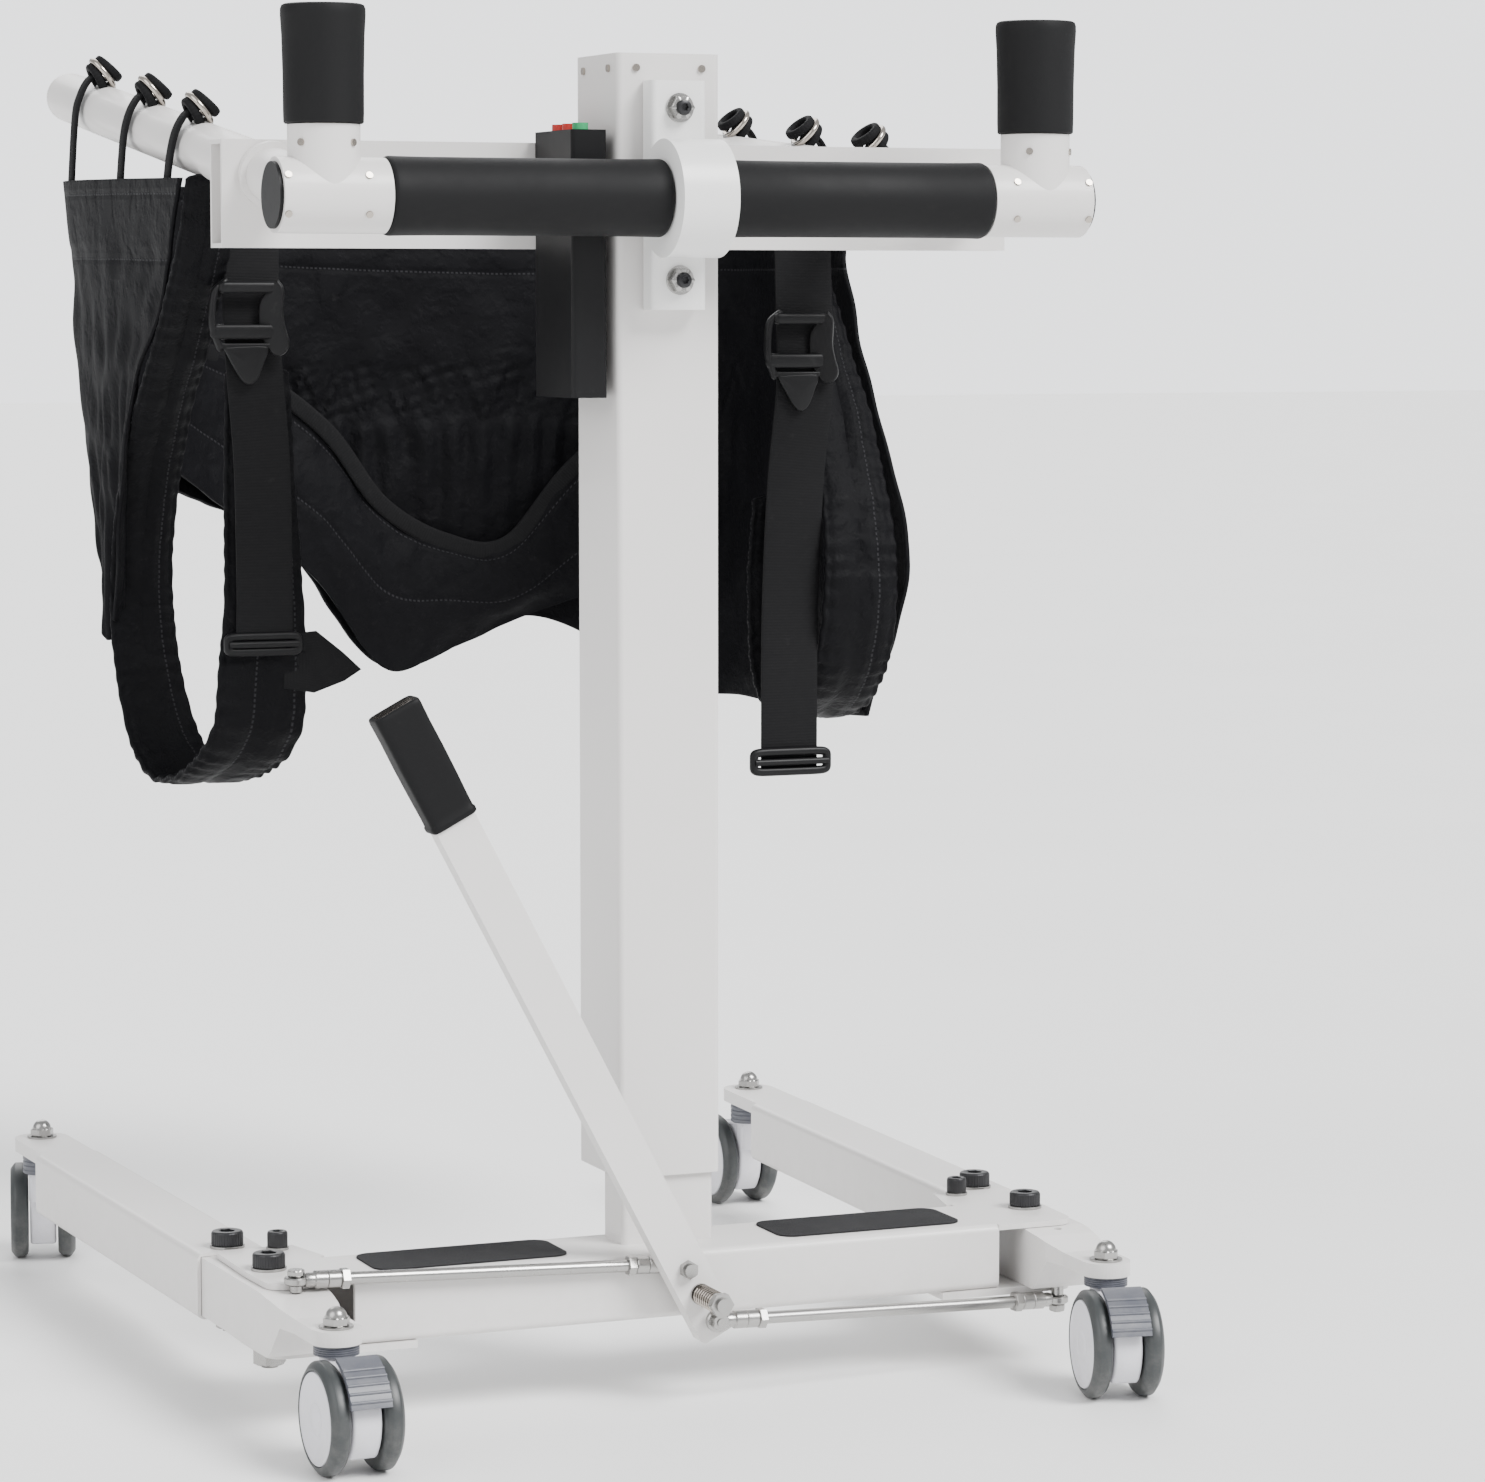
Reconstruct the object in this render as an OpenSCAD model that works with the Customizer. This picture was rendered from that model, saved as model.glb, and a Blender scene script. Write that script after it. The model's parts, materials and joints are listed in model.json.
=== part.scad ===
// Sit to stand lift.  X runs across the lift, Y runs back towards the person being lifted, Z is up.
// Everything is laid out from the middle of the mast's front face, and centre_depth then moves the
// whole lift so that the origin lies on the floor under the middle of its box.

/* [Mast] */
// Width of the moving mast sleeve
sleeve_w = 75; // [74:1:76]
// Depth of the moving mast sleeve, front to back
sleeve_d = 80; // [79:1:82]
// Height of the sleeve's top edge with the lift head lowered
mast_top = 925; // [920:1:930]
// Gap between the base beam and the sleeve with the lift head lowered
foot_gap = 48; // [40:1:52]

/* [Base] */
// Length of the rectangular base beam
beam_len = 480; // [470:2:484]
// Depth of the base beam, front to back
beam_d = 80; // [78:1:82]
// Height of the base beam's top face
beam_top = 102; // [101:1:103]
// Half the distance between the two leg hinges
hinge_x = 285; // [284:1:287]
// Outward splay of each leg with the legs closed
leg_splay = 1.7; // [1.2:0.1:2]

/* [Castors] */
// Wheel diameter
wheel_dia = 75; // [74:1:76]
// Distance from the swivel axis back to the wheel axle
trail = 28; // [26:1:28]
// Width of one tyre
tyre_w = 14; // [12:1:14]

/* [Lever] */
// Lean of the spreading lever from upright with the legs closed
lever_lean = 27.8; // [27:0.1:28]
// Length of the lever above its pivot
lever_len = 465; // [440:5:480]
// Distance from the lever's pivot to each tie rod stud
stud_arm = 20.4; // [20:0.1:21]

/* [Lift head] */
// Height of the hand bar's centre line
bar_z = 826; // [822:1:830]
// Half the distance between the upright grips
grip_x = 258.5; // [257:0.5:260]
// Diameter of the hand bar, grip and sling arm tubes
tube_dia = 38; // [37:1:38]
// Diameter of the foam on the hand bar
foam_dia = 52; // [50:1:54]
// Rise of the left sling arm in degrees
left_pitch = 7.7; // [6:0.1:8]
// Rise of the right sling arm in degrees
right_pitch = 4.5; // [4:0.1:6]
// Length of each sling arm behind the hand bar
arm_reach = 672; // [640:2:680]

/* [Hidden] */
$fn = 48;

centre_depth = 230;
steel_wall = 2.5;
coat = "whitesmoke";
steel = "silver";
black = [0.12, 0.12, 0.13];
slate = [0.36, 0.37, 0.39];

// Mast
sleeve_bottom = beam_top + foot_gap;
post_w = 68;
post_d = 38;
post_front = 4;
post_top = 700;
rod_y = 60;
cap_t = 3;

// Base
beam_front = -30;
beam_h = 46;
beam_bottom = beam_top - beam_h;
plate_t = 4;
plate_back = 95;
stop_x = 259.8;
stop_y = 84;
stop_r = 3.5;
hinge_y = 21;
hinge_r = 6.2;
run_gap = 0.05;
arm_bottom = beam_bottom + 0.4;
arm_top = beam_top - plate_t - 0.4;
arm_w = 46;
leg_w = 52;
leg_bottom = arm_bottom - 0.2 - steel_wall;
leg_top = arm_top + 0.3 + steel_wall;
near_stem = -138;
far_stem = 562;
leg_bolt_y = 91;
leg_start = 78;
rod_stud_y = -57;
rod_stud_r = 3;
near_flange_top = 90;
near_flange_bottom = 80;
far_flange_bottom = leg_top - 10;
swing_radius = trail + wheel_dia / 2 + 8;

// Castors: place, turn and flange height of each
wheel_r = wheel_dia / 2;
fork_w = 22;
fork_top = 72.5;
stem_r = 5;
wheel_gap = 0.4;
FRONT_LEFT = 0;
FRONT_RIGHT = 1;
REAR_LEFT = 2;
REAR_RIGHT = 3;
castor_turn = [2, -11, 166, -178];

// Lever
lever_y = -49;
lever_z = 77;
lever_w = 30;
lever_t = 15;
lever_foot = 33;
lever_front = lever_y - lever_t / 2;
lever_back = lever_y + lever_t / 2;
pivot_r = 5;
pivot_end = -100;
spring_len = lever_front - 3.2 - (pivot_end + 10.2);
lever_grip_len = 88;

// Tie rods
rod_r = 4;
eye_r = 8;
eye_t = 5;
open_pivot_gap = 1.3;
eye_slack = eye_t / 2 + 0.7;
left_stud = lever_point(stud_arm);
right_stud = lever_point(-stud_arm);
left_rod_y = -36;
right_rod_y = -63.5;
left_eye_z = beam_top + 3.4;
right_eye_z = 46;

// Lift head
bar_y = -40;
tube_r = tube_dia / 2;
foam_r = foam_dia / 2;
clamp_w = 40;
clamp_r = 40;
clamp_low = 751;
clamp_high = 906;
fitting_r = 25;
fitting_in = 218;
grip_low = 872;
screw_r = 2.4;
screw_depth = 1.2;
grip_high = 950;
beam_back = 108;
upper_beam_low = 793;
upper_beam_high = 866;
upper_beam_half = 293;
hook_places = [250, 376, 517];
box_x = -69.4;
box_w = 25.6;
box_y = 3;
box_d = 75;
box_low = 691;
box_high = 873;
button_r = 5.5;
button_h = 5;
button_places = [18, 38, 58];

// Sling
cloth_t = 10;
sling_top = 842;
wing_x = 281;
back_y = 606;
strap_w = 42;
strap_t = 4;

function lever_point(along) = [-along * sin(lever_lean), lever_z + along * cos(lever_lean)];

function leg_point(side, along) = [
  side * (hinge_x + along * sin(leg_splay)),
  hinge_y + along * cos(leg_splay)
];

function castor_point(n) = leg_point(n % 2 == 0 ? -1 : 1, n < REAR_LEFT ? near_stem : far_stem);

function arm_pitch(side) = side < 0 ? left_pitch : right_pitch;

// Ring k of a coil of wire wound along Y, as the points of one round section
function coil_ring(k, steps, turns, length, coil_r, wire_r, sides) = [
  for (j = [0:sides - 1])
    let (turn = 360 * turns * k / steps, a = 360 * j / sides, r = coil_r + wire_r * cos(a))
      [r * cos(turn), length * k / steps + wire_r * sin(a), r * sin(turn)]
];

module placed() {
  translate([0, -centre_depth, 0]) children();
}

// Children drawn for one leg: hinge at the origin, the leg running along Y
module on_leg(side) {
  translate([side * hinge_x, hinge_y, 0])
    rotate([0, 0, -side * leg_splay])
      mirror([side < 0 ? 1 : 0, 0, 0])
        children();
}

module on_castor(n) {
  p = castor_point(n);
  translate([p[0], p[1], 0]) rotate([0, 0, castor_turn[n]]) children();
}

module on_lever() {
  translate([0, 0, lever_z]) rotate([0, -lever_lean, 0]) children();
}

// Children drawn along a sling arm: start of the arm at the origin, the arm running along Y
module on_arm(side) {
  translate([side * grip_x, bar_y, bar_z]) rotate([arm_pitch(side), 0, 0]) children();
}

module rounded_square(w, d, r) {
  square([w - 2 * r, d], center = true);
  square([w, d - 2 * r], center = true);
  for (sx = [-1, 1], sy = [-1, 1])
    translate([sx * (w / 2 - r), sy * (d / 2 - r)]) circle(r);
}

// Upright box with rounded corners, centred on x and y
module rounded_bar(w, d, low, high, r) {
  translate([0, 0, low]) linear_extrude(high - low) rounded_square(w, d, r);
}

module upright(r, low, high) {
  translate([0, 0, low]) cylinder(r = r, h = high - low);
}

module along_x(r, from, to) {
  translate([from, 0, 0]) rotate([0, 90, 0]) cylinder(r = r, h = to - from);
}

module along_y(r, from, to) {
  translate([0, from, 0]) rotate([-90, 0, 0]) cylinder(r = r, h = to - from);
}

module hex_nut(r, low, high) {
  translate([0, 0, low]) cylinder(r = r, h = high - low, $fn = 6);
}

// Socket cap bolt standing on its flange: head and washer above, nut and washer below
module cap_bolt(shank_r, head_r, head_h, seat, under, nut_h) {
  difference() {
    upright(head_r, seat + 2, seat + 2 + head_h);
    translate([0, 0, seat + 2 + head_h - 5]) cylinder(r = head_r * 0.45, h = 6, $fn = 6);
  }
  upright(head_r * 0.95, seat, seat + 2.1);
  upright(shank_r, under - nut_h - 2, seat + 3);
  hex_nut(head_r * 0.85, under - nut_h, under);
}

// --- Base, fixed ---

module base_beam() {
  color(coat)
    difference() {
      translate([-beam_len / 2, beam_front + beam_d / 2, beam_bottom + beam_h / 2])
        rotate([90, 0, 90]) linear_extrude(beam_len) rounded_square(beam_d, beam_h, 5);
      translate([-beam_len / 2 - 1, beam_front + beam_d / 2, beam_bottom + beam_h / 2])
        rotate([90, 0, 90]) linear_extrude(beam_len + 2)
          rounded_square(beam_d - 2 * plate_t, beam_h - 2 * plate_t, 3);
      translate([0, beam_front + 10, lever_z]) along_y(pivot_r + run_gap, -20, 20);
    }
}

// Plan of one end plate: it reaches out over the hinge and back beside the leg
module plate_plan() {
  difference() {
    union() {
      polygon([
        [196, beam_front], [286, beam_front], [300, -16], [302, 20], [302, 88], [296, plate_back],
        [246, plate_back], [236, 50], [196, 50]
      ]);
      translate([287.5, -17.5]) circle(12.4);
    }
    translate([hinge_x, hinge_y]) circle(hinge_r + run_gap);
    translate([stop_x, stop_y]) circle(stop_r + run_gap);
  }
}

module end_plates() {
  color(coat)
    for (side = [-1, 1])
      mirror([side < 0 ? 1 : 0, 0, 0]) {
        translate([0, 0, beam_bottom - 5]) linear_extrude(5) plate_plan();
        difference() {
          translate([0, 0, beam_top - plate_t]) linear_extrude(plate_t) plate_plan();
          translate([0, beam_front - 1, beam_top - plate_t - 1]) cube([beam_len / 2, beam_d + 2, plate_t + 2]);
        }
      }
}

module mast_post() {
  color(coat) {
    difference() {
      translate([0, post_front + post_d / 2, 0]) rounded_bar(post_w, post_d, beam_top, post_top, 4);
      translate([0, post_front + post_d / 2, 0])
        rounded_bar(post_w - 6, post_d - 6, beam_top + 6, post_top + 1, 2);
    }
    difference() {
      translate([-14, post_front + post_d - 1, beam_top]) cube([28, 34, 16]);
      translate([0, rod_y, 0]) upright(10.05, beam_top + 6, beam_top + 20);
    }
  }
}

// Nylon strips near the top of the post that run on the sleeve's inner walls
module post_glides() {
  color("ivory")
    for (side = [-1, 1])
      translate([side * (post_w / 2 + 0.35), post_front + post_d / 2, 0])
        rounded_bar(0.7, 20, post_top - 110, post_top - 5, 0.3);
}

module foot_grips() {
  color(black)
    for (side = [-1, 1])
      translate([side * 149, 14, 0]) rounded_bar(140, 58, beam_top, beam_top + 1.2, 12);
}

module actuator_rod() {
  color(steel) translate([0, rod_y, 0]) upright(10, beam_top + 6, 640);
}

module base_bolts() {
  color(black)
    for (side = [-1, 1]) {
      translate([side * hinge_x, hinge_y, 0])
        cap_bolt(hinge_r, 11, 10, beam_top, beam_bottom - 5, 12);
      translate([side * stop_x, stop_y, 0]) {
        upright(6.5, beam_top, beam_top + 2);
        upright(4.8, beam_top + 1, beam_top + 14);
        upright(stop_r, beam_bottom - 7, beam_top + 2);
      }
    }
}

module lever_pivot() {
  color(steel) {
    along_y(pivot_r, pivot_end, beam_front + 12);
    translate([0, pivot_end + 9, 0]) rotate([90, 0, 0]) hex_nut(8.5, 0, 6);
    along_y(7.5, lever_front - 2, lever_front - 0.2);
    along_y(8.5, lever_back + 0.2, beam_front);
  }
}

// Coil spring between the lever and the end nut of its pivot
module lever_spring() {
  turns = 8;
  sides = 6;
  steps = turns * 14;
  coil = [for (k = [0:steps]) each coil_ring(k, steps, turns, spring_len, 6.35, 1.1, sides)];
  walls = [
    for (k = [0:steps - 1], j = [0:sides - 1])
      let (a = k * sides + j, b = k * sides + (j + 1) % sides)
        [a, a + sides, b + sides, b]
  ];
  start = [for (j = [0:sides - 1]) j];
  end = [for (j = [sides - 1:-1:0]) steps * sides + j];
  color(steel)
    translate([0, pivot_end + 10.2, 0]) polyhedron(coil, concat(walls, [start, end]), convexity = 10);
}

// --- Lift head ---

module mast_sleeve() {
  color(coat)
    difference() {
      translate([0, sleeve_d / 2, 0]) rounded_bar(sleeve_w, sleeve_d, sleeve_bottom, mast_top - cap_t, 4);
      translate([0, sleeve_d / 2, 0])
        rounded_bar(sleeve_w - 2 * steel_wall, sleeve_d - 2 * steel_wall, sleeve_bottom - 1, mast_top, 2);
    }
}

module mast_cap() {
  color(coat)
    difference() {
      union() {
        translate([0, sleeve_d / 2, 0]) rounded_bar(sleeve_w, sleeve_d, mast_top - cap_t, mast_top, 4);
        translate([0, sleeve_d / 2, 0])
          rounded_bar(sleeve_w - 5.4, sleeve_d - 5.4, mast_top - 24, mast_top - cap_t + 0.1, 2);
      }
      translate([0, sleeve_d / 2, 0])
        rounded_bar(sleeve_w - 12, sleeve_d - 12, mast_top - 25, mast_top - cap_t - 1, 2);
    }
}

module cap_screws() {
  color(steel)
    for (turn = [0:90:270])
      translate([0, sleeve_d / 2, mast_top - 10])
        rotate([0, 0, turn])
          for (sx = [-1, 1])
            translate([sx * 24, 0, 0])
              along_y(2.6, (turn % 180 == 0 ? sleeve_d : sleeve_w) / 2,
                (turn % 180 == 0 ? sleeve_d : sleeve_w) / 2 + 1.6, $fn = 24);
}

module actuator_tube() {
  color("gray")
    difference() {
      translate([0, rod_y, 0]) upright(16.5, sleeve_bottom + 14, 702);
      translate([0, rod_y, 0]) upright(10.05, sleeve_bottom + 13, 696);
    }
}

module actuator_motor() {
  color("dimgray") {
    translate([0, sleeve_d / 2 + 4, 0]) rounded_bar(52, 56, 708, 752, 6);
    translate([0, rod_y, 0]) upright(16, 702, 709);
    translate([0, 34, 0]) upright(22, 751, 862);
    translate([0, sleeve_d / 2, 0]) rounded_bar(sleeve_w - 2 * steel_wall, 12, 866, 886, 2);
    translate([0, 36, 0]) upright(8, 861, 867);
  }
}

module saddle_clamp() {
  color(coat)
    difference() {
      union() {
        translate([0, -10, 0]) rounded_bar(clamp_w, 20, clamp_low, clamp_high, 4);
        translate([0, bar_y, bar_z]) along_x(clamp_r, -clamp_w / 2, clamp_w / 2, $fn = 96);
      }
      translate([0, bar_y, bar_z]) along_x(tube_r + run_gap, -clamp_w, clamp_w);
      translate([-clamp_w, 0, bar_z - 60]) cube([2 * clamp_w, 60, 120]);
      for (z = [clamp_low + 20, clamp_high - 18.5])
        translate([0, 0, z]) along_y(4 + run_gap, -25, 5);
    }
}

module clamp_bolts() {
  color(steel)
    for (z = [clamp_low + 20, clamp_high - 18.5])
      translate([0, 0, z]) {
        along_y(8.5, -21.5, -20);
        translate([0, -21, 0]) rotate([90, 0, 0]) hex_nut(7.5, 0, 6);
        along_y(4.2, -30, -26);
        along_y(4, -27, -0.1);
      }
}

module hand_bar_tube() {
  color(steel)
    translate([0, bar_y, bar_z])
      difference() {
        along_x(tube_r, -fitting_in - 18, fitting_in + 18);
        along_x(tube_r - 2, -fitting_in - 19, fitting_in + 19);
      }
}

module hand_bar_foam() {
  color(black)
    translate([0, bar_y, bar_z])
      for (side = [-1, 1])
        mirror([side < 0 ? 1 : 0, 0, 0])
          difference() {
            along_x(foam_r, clamp_w / 2 + 0.5, fitting_in - 0.5, $fn = 64);
            along_x(tube_r + 0.05, 0, fitting_in);
          }
}

// Children drawn at each screw of one corner fitting: X runs outwards, the screw's axis is Y, its seat at the origin
module at_fitting_screws() {
  for (x = [-24, 31], up = [-1, 1])
    rotate([-up * 30, 0, 0]) translate([x, -fitting_r, 0]) children();
  for (turn = [-35, 55])
    rotate([0, 0, turn]) translate([0, -fitting_r + 1, grip_low - 12 - bar_z]) children();
}

module corner_fittings() {
  color(coat)
    for (side = [-1, 1])
      translate([side * grip_x, bar_y, bar_z])
        mirror([side < 0 ? 1 : 0, 0, 0])
          difference() {
            union() {
              along_x(fitting_r, fitting_in - grip_x, 34);
              upright(fitting_r - 1, -5, grip_low - bar_z);
              rotate([arm_pitch(side), 0, 0]) along_y(23, 0, 44);
            }
            along_x(tube_r + run_gap, -60, -22);
            along_x(tube_r - 1, 30, 60);
            upright(tube_r + run_gap, 20, 80);
            rotate([arm_pitch(side), 0, 0]) along_y(tube_r + run_gap, 21, 60);
            at_fitting_screws() along_y(screw_r + run_gap, -1, screw_depth + run_gap);
          }
}

module fitting_screws() {
  color(steel)
    for (side = [-1, 1])
      translate([side * grip_x, bar_y, bar_z])
        mirror([side < 0 ? 1 : 0, 0, 0])
          at_fitting_screws() along_y(screw_r, -1.2, screw_depth, $fn = 24);
}

module bar_end_caps() {
  color(black)
    for (side = [-1, 1])
      translate([side * grip_x, bar_y, bar_z])
        mirror([side < 0 ? 1 : 0, 0, 0]) {
          along_x(22, 34, 36.5);
          along_x(tube_r - 1.1, 30, 34.1);
        }
}

module grip_tubes() {
  color(steel)
    for (side = [-1, 1])
      translate([side * grip_x, bar_y, 0])
        difference() {
          upright(tube_r, bar_z + 22, grip_high - 6);
          upright(tube_r - 2, bar_z + 21, grip_high - 5);
        }
}

module grip_foam() {
  color(black)
    for (side = [-1, 1])
      translate([side * grip_x, bar_y, 0])
        difference() {
          rotate_extrude($fn = 64)
            polygon([
              [0, grip_low + 0.5], [26.5, grip_low + 0.5], [28, grip_high - 4],
              [27, grip_high - 1], [24, grip_high], [0, grip_high]
            ]);
          upright(tube_r + 0.05, grip_low, grip_high - 5.9);
        }
}

module cross_beam() {
  color(coat)
    difference() {
      union() {
        translate([-upper_beam_half, sleeve_d, upper_beam_low])
          cube([2 * upper_beam_half, beam_back - sleeve_d, upper_beam_high - upper_beam_low]);
        for (side = [-1, 1])
          on_arm(side) along_y(23, 116, 122);
      }
      translate([-upper_beam_half - 1, sleeve_d + 3, upper_beam_low + 3])
        cube([2 * upper_beam_half + 2, beam_back - sleeve_d - 6, upper_beam_high - upper_beam_low - 6]);
      for (side = [-1, 1])
        on_arm(side) along_y(tube_r + run_gap, 100, 170);
    }
}

module sling_arm(side) {
  color(coat)
    on_arm(side)
      difference() {
        union() {
          along_y(tube_r, 21.2, arm_reach - 8);
          translate([0, arm_reach - 8, 0]) rotate([-90, 0, 0])
            rotate_extrude()
              polygon([[0, 0], [tube_r, 0], [tube_r - 1.5, 4], [tube_r - 6, 7.2], [tube_r - 12, 8], [0, 8]]);
        }
        along_y(tube_r - 2, 20, arm_reach - 12);
      }
}

// Ring hooks on top of the arms, each a foot, a ring standing across the arm and its cord loop's eye
module sling_hooks() {
  color(steel)
    for (side = [-1, 1], y = hook_places)
      on_arm(side)
        translate([0, y - bar_y, 0]) {
          upright(5, tube_r - 0.5, tube_r + 3);
          translate([0, 0, tube_r + 12.5]) rotate([90, 20, 0])
            rotate_extrude($fn = 48) translate([10, 0]) circle(2.6, $fn = 20);
        }
}

module control_box() {
  color(black)
    difference() {
      union() {
        translate([box_x + box_w / 2, box_y + box_d / 2, 0]) rounded_bar(box_w, box_d, box_low, box_high, 3);
        translate([box_x + box_w - 1, box_y + 20, box_low + 60]) cube([7.3, 36, 70]);
      }
      for (y = button_places)
        translate([box_x + box_w / 2, box_y + y, 0]) upright(button_r + 0.3, box_high - 9, box_high + 1);
    }
}

module push_button(n, shade) {
  color(shade)
    translate([box_x + box_w / 2, box_y + button_places[n], 0]) {
      upright(button_r, box_high - 6, box_high + button_h);
    }
}

// --- Sling ---

// Flat cloth panel standing across X, from an outline of [y, z] points
module side_panel(x, t, outline) {
  translate([x, 0, 0]) rotate([90, 0, 90]) linear_extrude(t) polygon(outline);
}

module sling_back() {
  outline = [
    [-wing_x, sling_top], [wing_x, sling_top], [wing_x, 640], [270, 500], [240, 452], [120, 476],
    [40, 466], [-14, 466], [-60, 520], [-108, 570], [-225, 622], [-wing_x, 680]
  ];
  color(black)
    translate([0, back_y + cloth_t, 0]) rotate([90, 0, 0]) linear_extrude(cloth_t) polygon(outline);
}

module sling_wing_left() {
  color(black)
    side_panel(-wing_x - cloth_t, cloth_t, [
      [219, sling_top - 42], [226, sling_top], [back_y + cloth_t, sling_top], [600, 780], [560, 700],
      [500, 640], [460, 612], [357, 612], [330, 680], [290, 740], [250, 790]
    ]);
}

module sling_wing_right() {
  color(black)
    side_panel(wing_x, cloth_t, [
      [368, sling_top], [back_y + cloth_t, sling_top], [606, 690], [520, 600], [440, 545],
      [231, 574], [300, 690], [360, 790]
    ]);
}

// Thigh strap hanging as a J: far side straight down, a half turn, and a short near side
module j_strap(cy, cz, outer, inner, far_top, near_top, across) {
  rotate([90, 0, 90])
    linear_extrude(across) {
      difference() {
        translate([cy, cz]) circle(outer, $fn = 72);
        translate([cy, cz]) circle(inner, $fn = 72);
        translate([cy - 2 * outer, cz]) square([4 * outer, 2 * outer]);
      }
      translate([cy + inner, cz - 0.1]) square([outer - inner, far_top - cz]);
      translate([cy - outer, cz - 0.1]) square([outer - inner, near_top - cz]);
    }
}

module thigh_strap_left() {
  color(black) translate([-wing_x - cloth_t, 0, 0]) j_strap(325, 480, 84, 72, 611.8, 506, 50);
}

module thigh_strap_right() {
  color(black) translate([wing_x - 48.5, 0, 0]) j_strap(325, 518, 84, 72, 610, 560, 48);
}

module webbing_straps() {
  color([0.16, 0.16, 0.17]) {
    translate([-222 - strap_w / 2, 250, 506]) cube([strap_w, strap_t, sling_top - 506]);
    translate([210 - strap_w / 2, 262, 396]) cube([strap_w, strap_t, sling_top - 20 - 396]);
  }
}

// One strap buckle: a frame with two slots and a cross bar
module buckle(x, y, low, high) {
  difference() {
    translate([x, y, 0]) rounded_bar(strap_w + 14, 6, low, high, 2);
    for (z = [low + 5, high - 12])
      translate([x - strap_w / 2, y - 10, z]) cube([strap_w, 20, 7]);
  }
}

module strap_buckles() {
  color(black) {
    buckle(-222, 246.7, 700, 770);
    buckle(210, 258.7, 660, 730);
    buckle(-222, 246.7, 506, 530);
    buckle(210, 258.7, 396, 420);
  }
}

// --- Lever and tie rods ---

module lever_bar() {
  color(coat)
    on_lever()
      difference() {
        translate([0, lever_y, (lever_len - 2 - lever_foot) / 2])
          rotate([90, 0, 0]) translate([0, 0, -lever_t / 2]) linear_extrude(lever_t)
            rounded_square(lever_w, lever_len - 2 + lever_foot, 4);
        along_y(pivot_r + run_gap, lever_front - 1, lever_back + 1);
        for (along = [-stud_arm, stud_arm])
          translate([0, 0, along]) along_y(rod_stud_r + run_gap, lever_front - 1, lever_back + 1);
      }
}

module lever_grip() {
  color(black)
    on_lever()
      difference() {
        translate([0, lever_y, 0])
          rounded_bar(lever_w + 5, lever_t + 7, lever_len - lever_grip_len, lever_len, 4);
        translate([-lever_w / 2 - run_gap, lever_front - run_gap, lever_len - lever_grip_len - 1])
          cube([lever_w + 2 * run_gap, lever_t + 2 * run_gap, lever_grip_len - 1 + run_gap]);
      }
}

module lever_studs() {
  color(steel)
    on_lever() {
      translate([0, 0, stud_arm]) {
        along_y(rod_stud_r, lever_front - 3, left_rod_y + 3.8);
        translate([0, lever_front, 0]) rotate([90, 0, 0]) hex_nut(6.5, 0, 5);
        along_y(4.6, lever_front - 8, lever_front - 4);
      }
      translate([0, 0, -stud_arm]) {
        along_y(rod_stud_r, right_rod_y - 9, lever_back + 1);
        translate([0, right_rod_y - eye_t / 2 - 0.3, 0]) rotate([90, 0, 0]) hex_nut(6, 0, 5);
        along_y(5, right_rod_y + eye_t / 2 + 0.3, lever_front);
      }
    }
}

// Tie rod from a lever stud at [x, y, z] to an arm stud at [x, y, z], with an eye at each end
module tie_rod(from, to) {
  run = to - from;
  length = norm(run);
  yaw = atan2(run[1], run[0]);
  rise = asin(run[2] / length);
  difference() {
    union() {
      translate(from) along_y(eye_r, -eye_t / 2, eye_t / 2);
      translate(to) upright(eye_r, -eye_t / 2, eye_t / 2);
      translate(from)
        rotate([0, -rise, yaw]) {
          along_x(rod_r - 0.5, eye_r - 2, length - eye_r + 2);
          along_x(rod_r, 30, length - 30);
          along_x(5, eye_r - 2, 26);
          along_x(5, length - 26, length - eye_r + 2);
          translate([26, 0, 0]) rotate([0, 90, 0]) hex_nut(5.4, 0, 4);
          translate([length - 30, 0, 0]) rotate([0, 90, 0]) hex_nut(5.4, 0, 4);
        }
    }
    translate(from) along_y(rod_stud_r + run_gap, -10, 10);
    translate(to) upright(rod_stud_r + open_pivot_gap, -10, 10);
  }
}

module tie_rod_left() {
  end = leg_point(-1, rod_stud_y);
  color(steel)
    tie_rod([left_stud[0], left_rod_y, left_stud[1]], [end[0], end[1], left_eye_z]);
}

module tie_rod_right() {
  end = leg_point(1, rod_stud_y);
  color(steel)
    tie_rod([right_stud[0], right_rod_y, right_stud[1]], [end[0], end[1], right_eye_z]);
}

// --- Legs ---

module leg_arm(side) {
  half = arm_w / 2;
  flange_r = 17;
  color(coat)
    on_leg(side)
      difference() {
        intersection() {
          linear_extrude(leg_top)
            polygon([
              for (a = [180:7.5:360]) [flange_r * cos(a), near_stem + flange_r * sin(a)],
              [flange_r, -104], [half - 2, -82], [half, -60], [half, 138],
              [-half, 138], [-half, -60], [-half + 2, -82], [-flange_r, -104]
            ]);
          translate([-arm_w, 0, 0]) rotate([90, 0, 90])
            linear_extrude(2 * arm_w)
              polygon([
                [-160, near_flange_bottom], [-84, near_flange_bottom], [-76, 70], [-68, 60], [-64, arm_bottom],
                [138, arm_bottom], [138, arm_top], [-50, arm_top], [-70, arm_top - 2],
                [-104, near_flange_top], [-160, near_flange_top]
              ]);
        }
        upright(hinge_r + run_gap, 0, 200);
        translate([0, leg_bolt_y, 0]) upright(4 + run_gap, 0, 200);
        translate([0, near_stem, 0]) upright(stem_r + run_gap, 0, 200);
        translate([0, rod_stud_y, 0]) upright(rod_stud_r + run_gap, 0, 200);
      }
}

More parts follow.
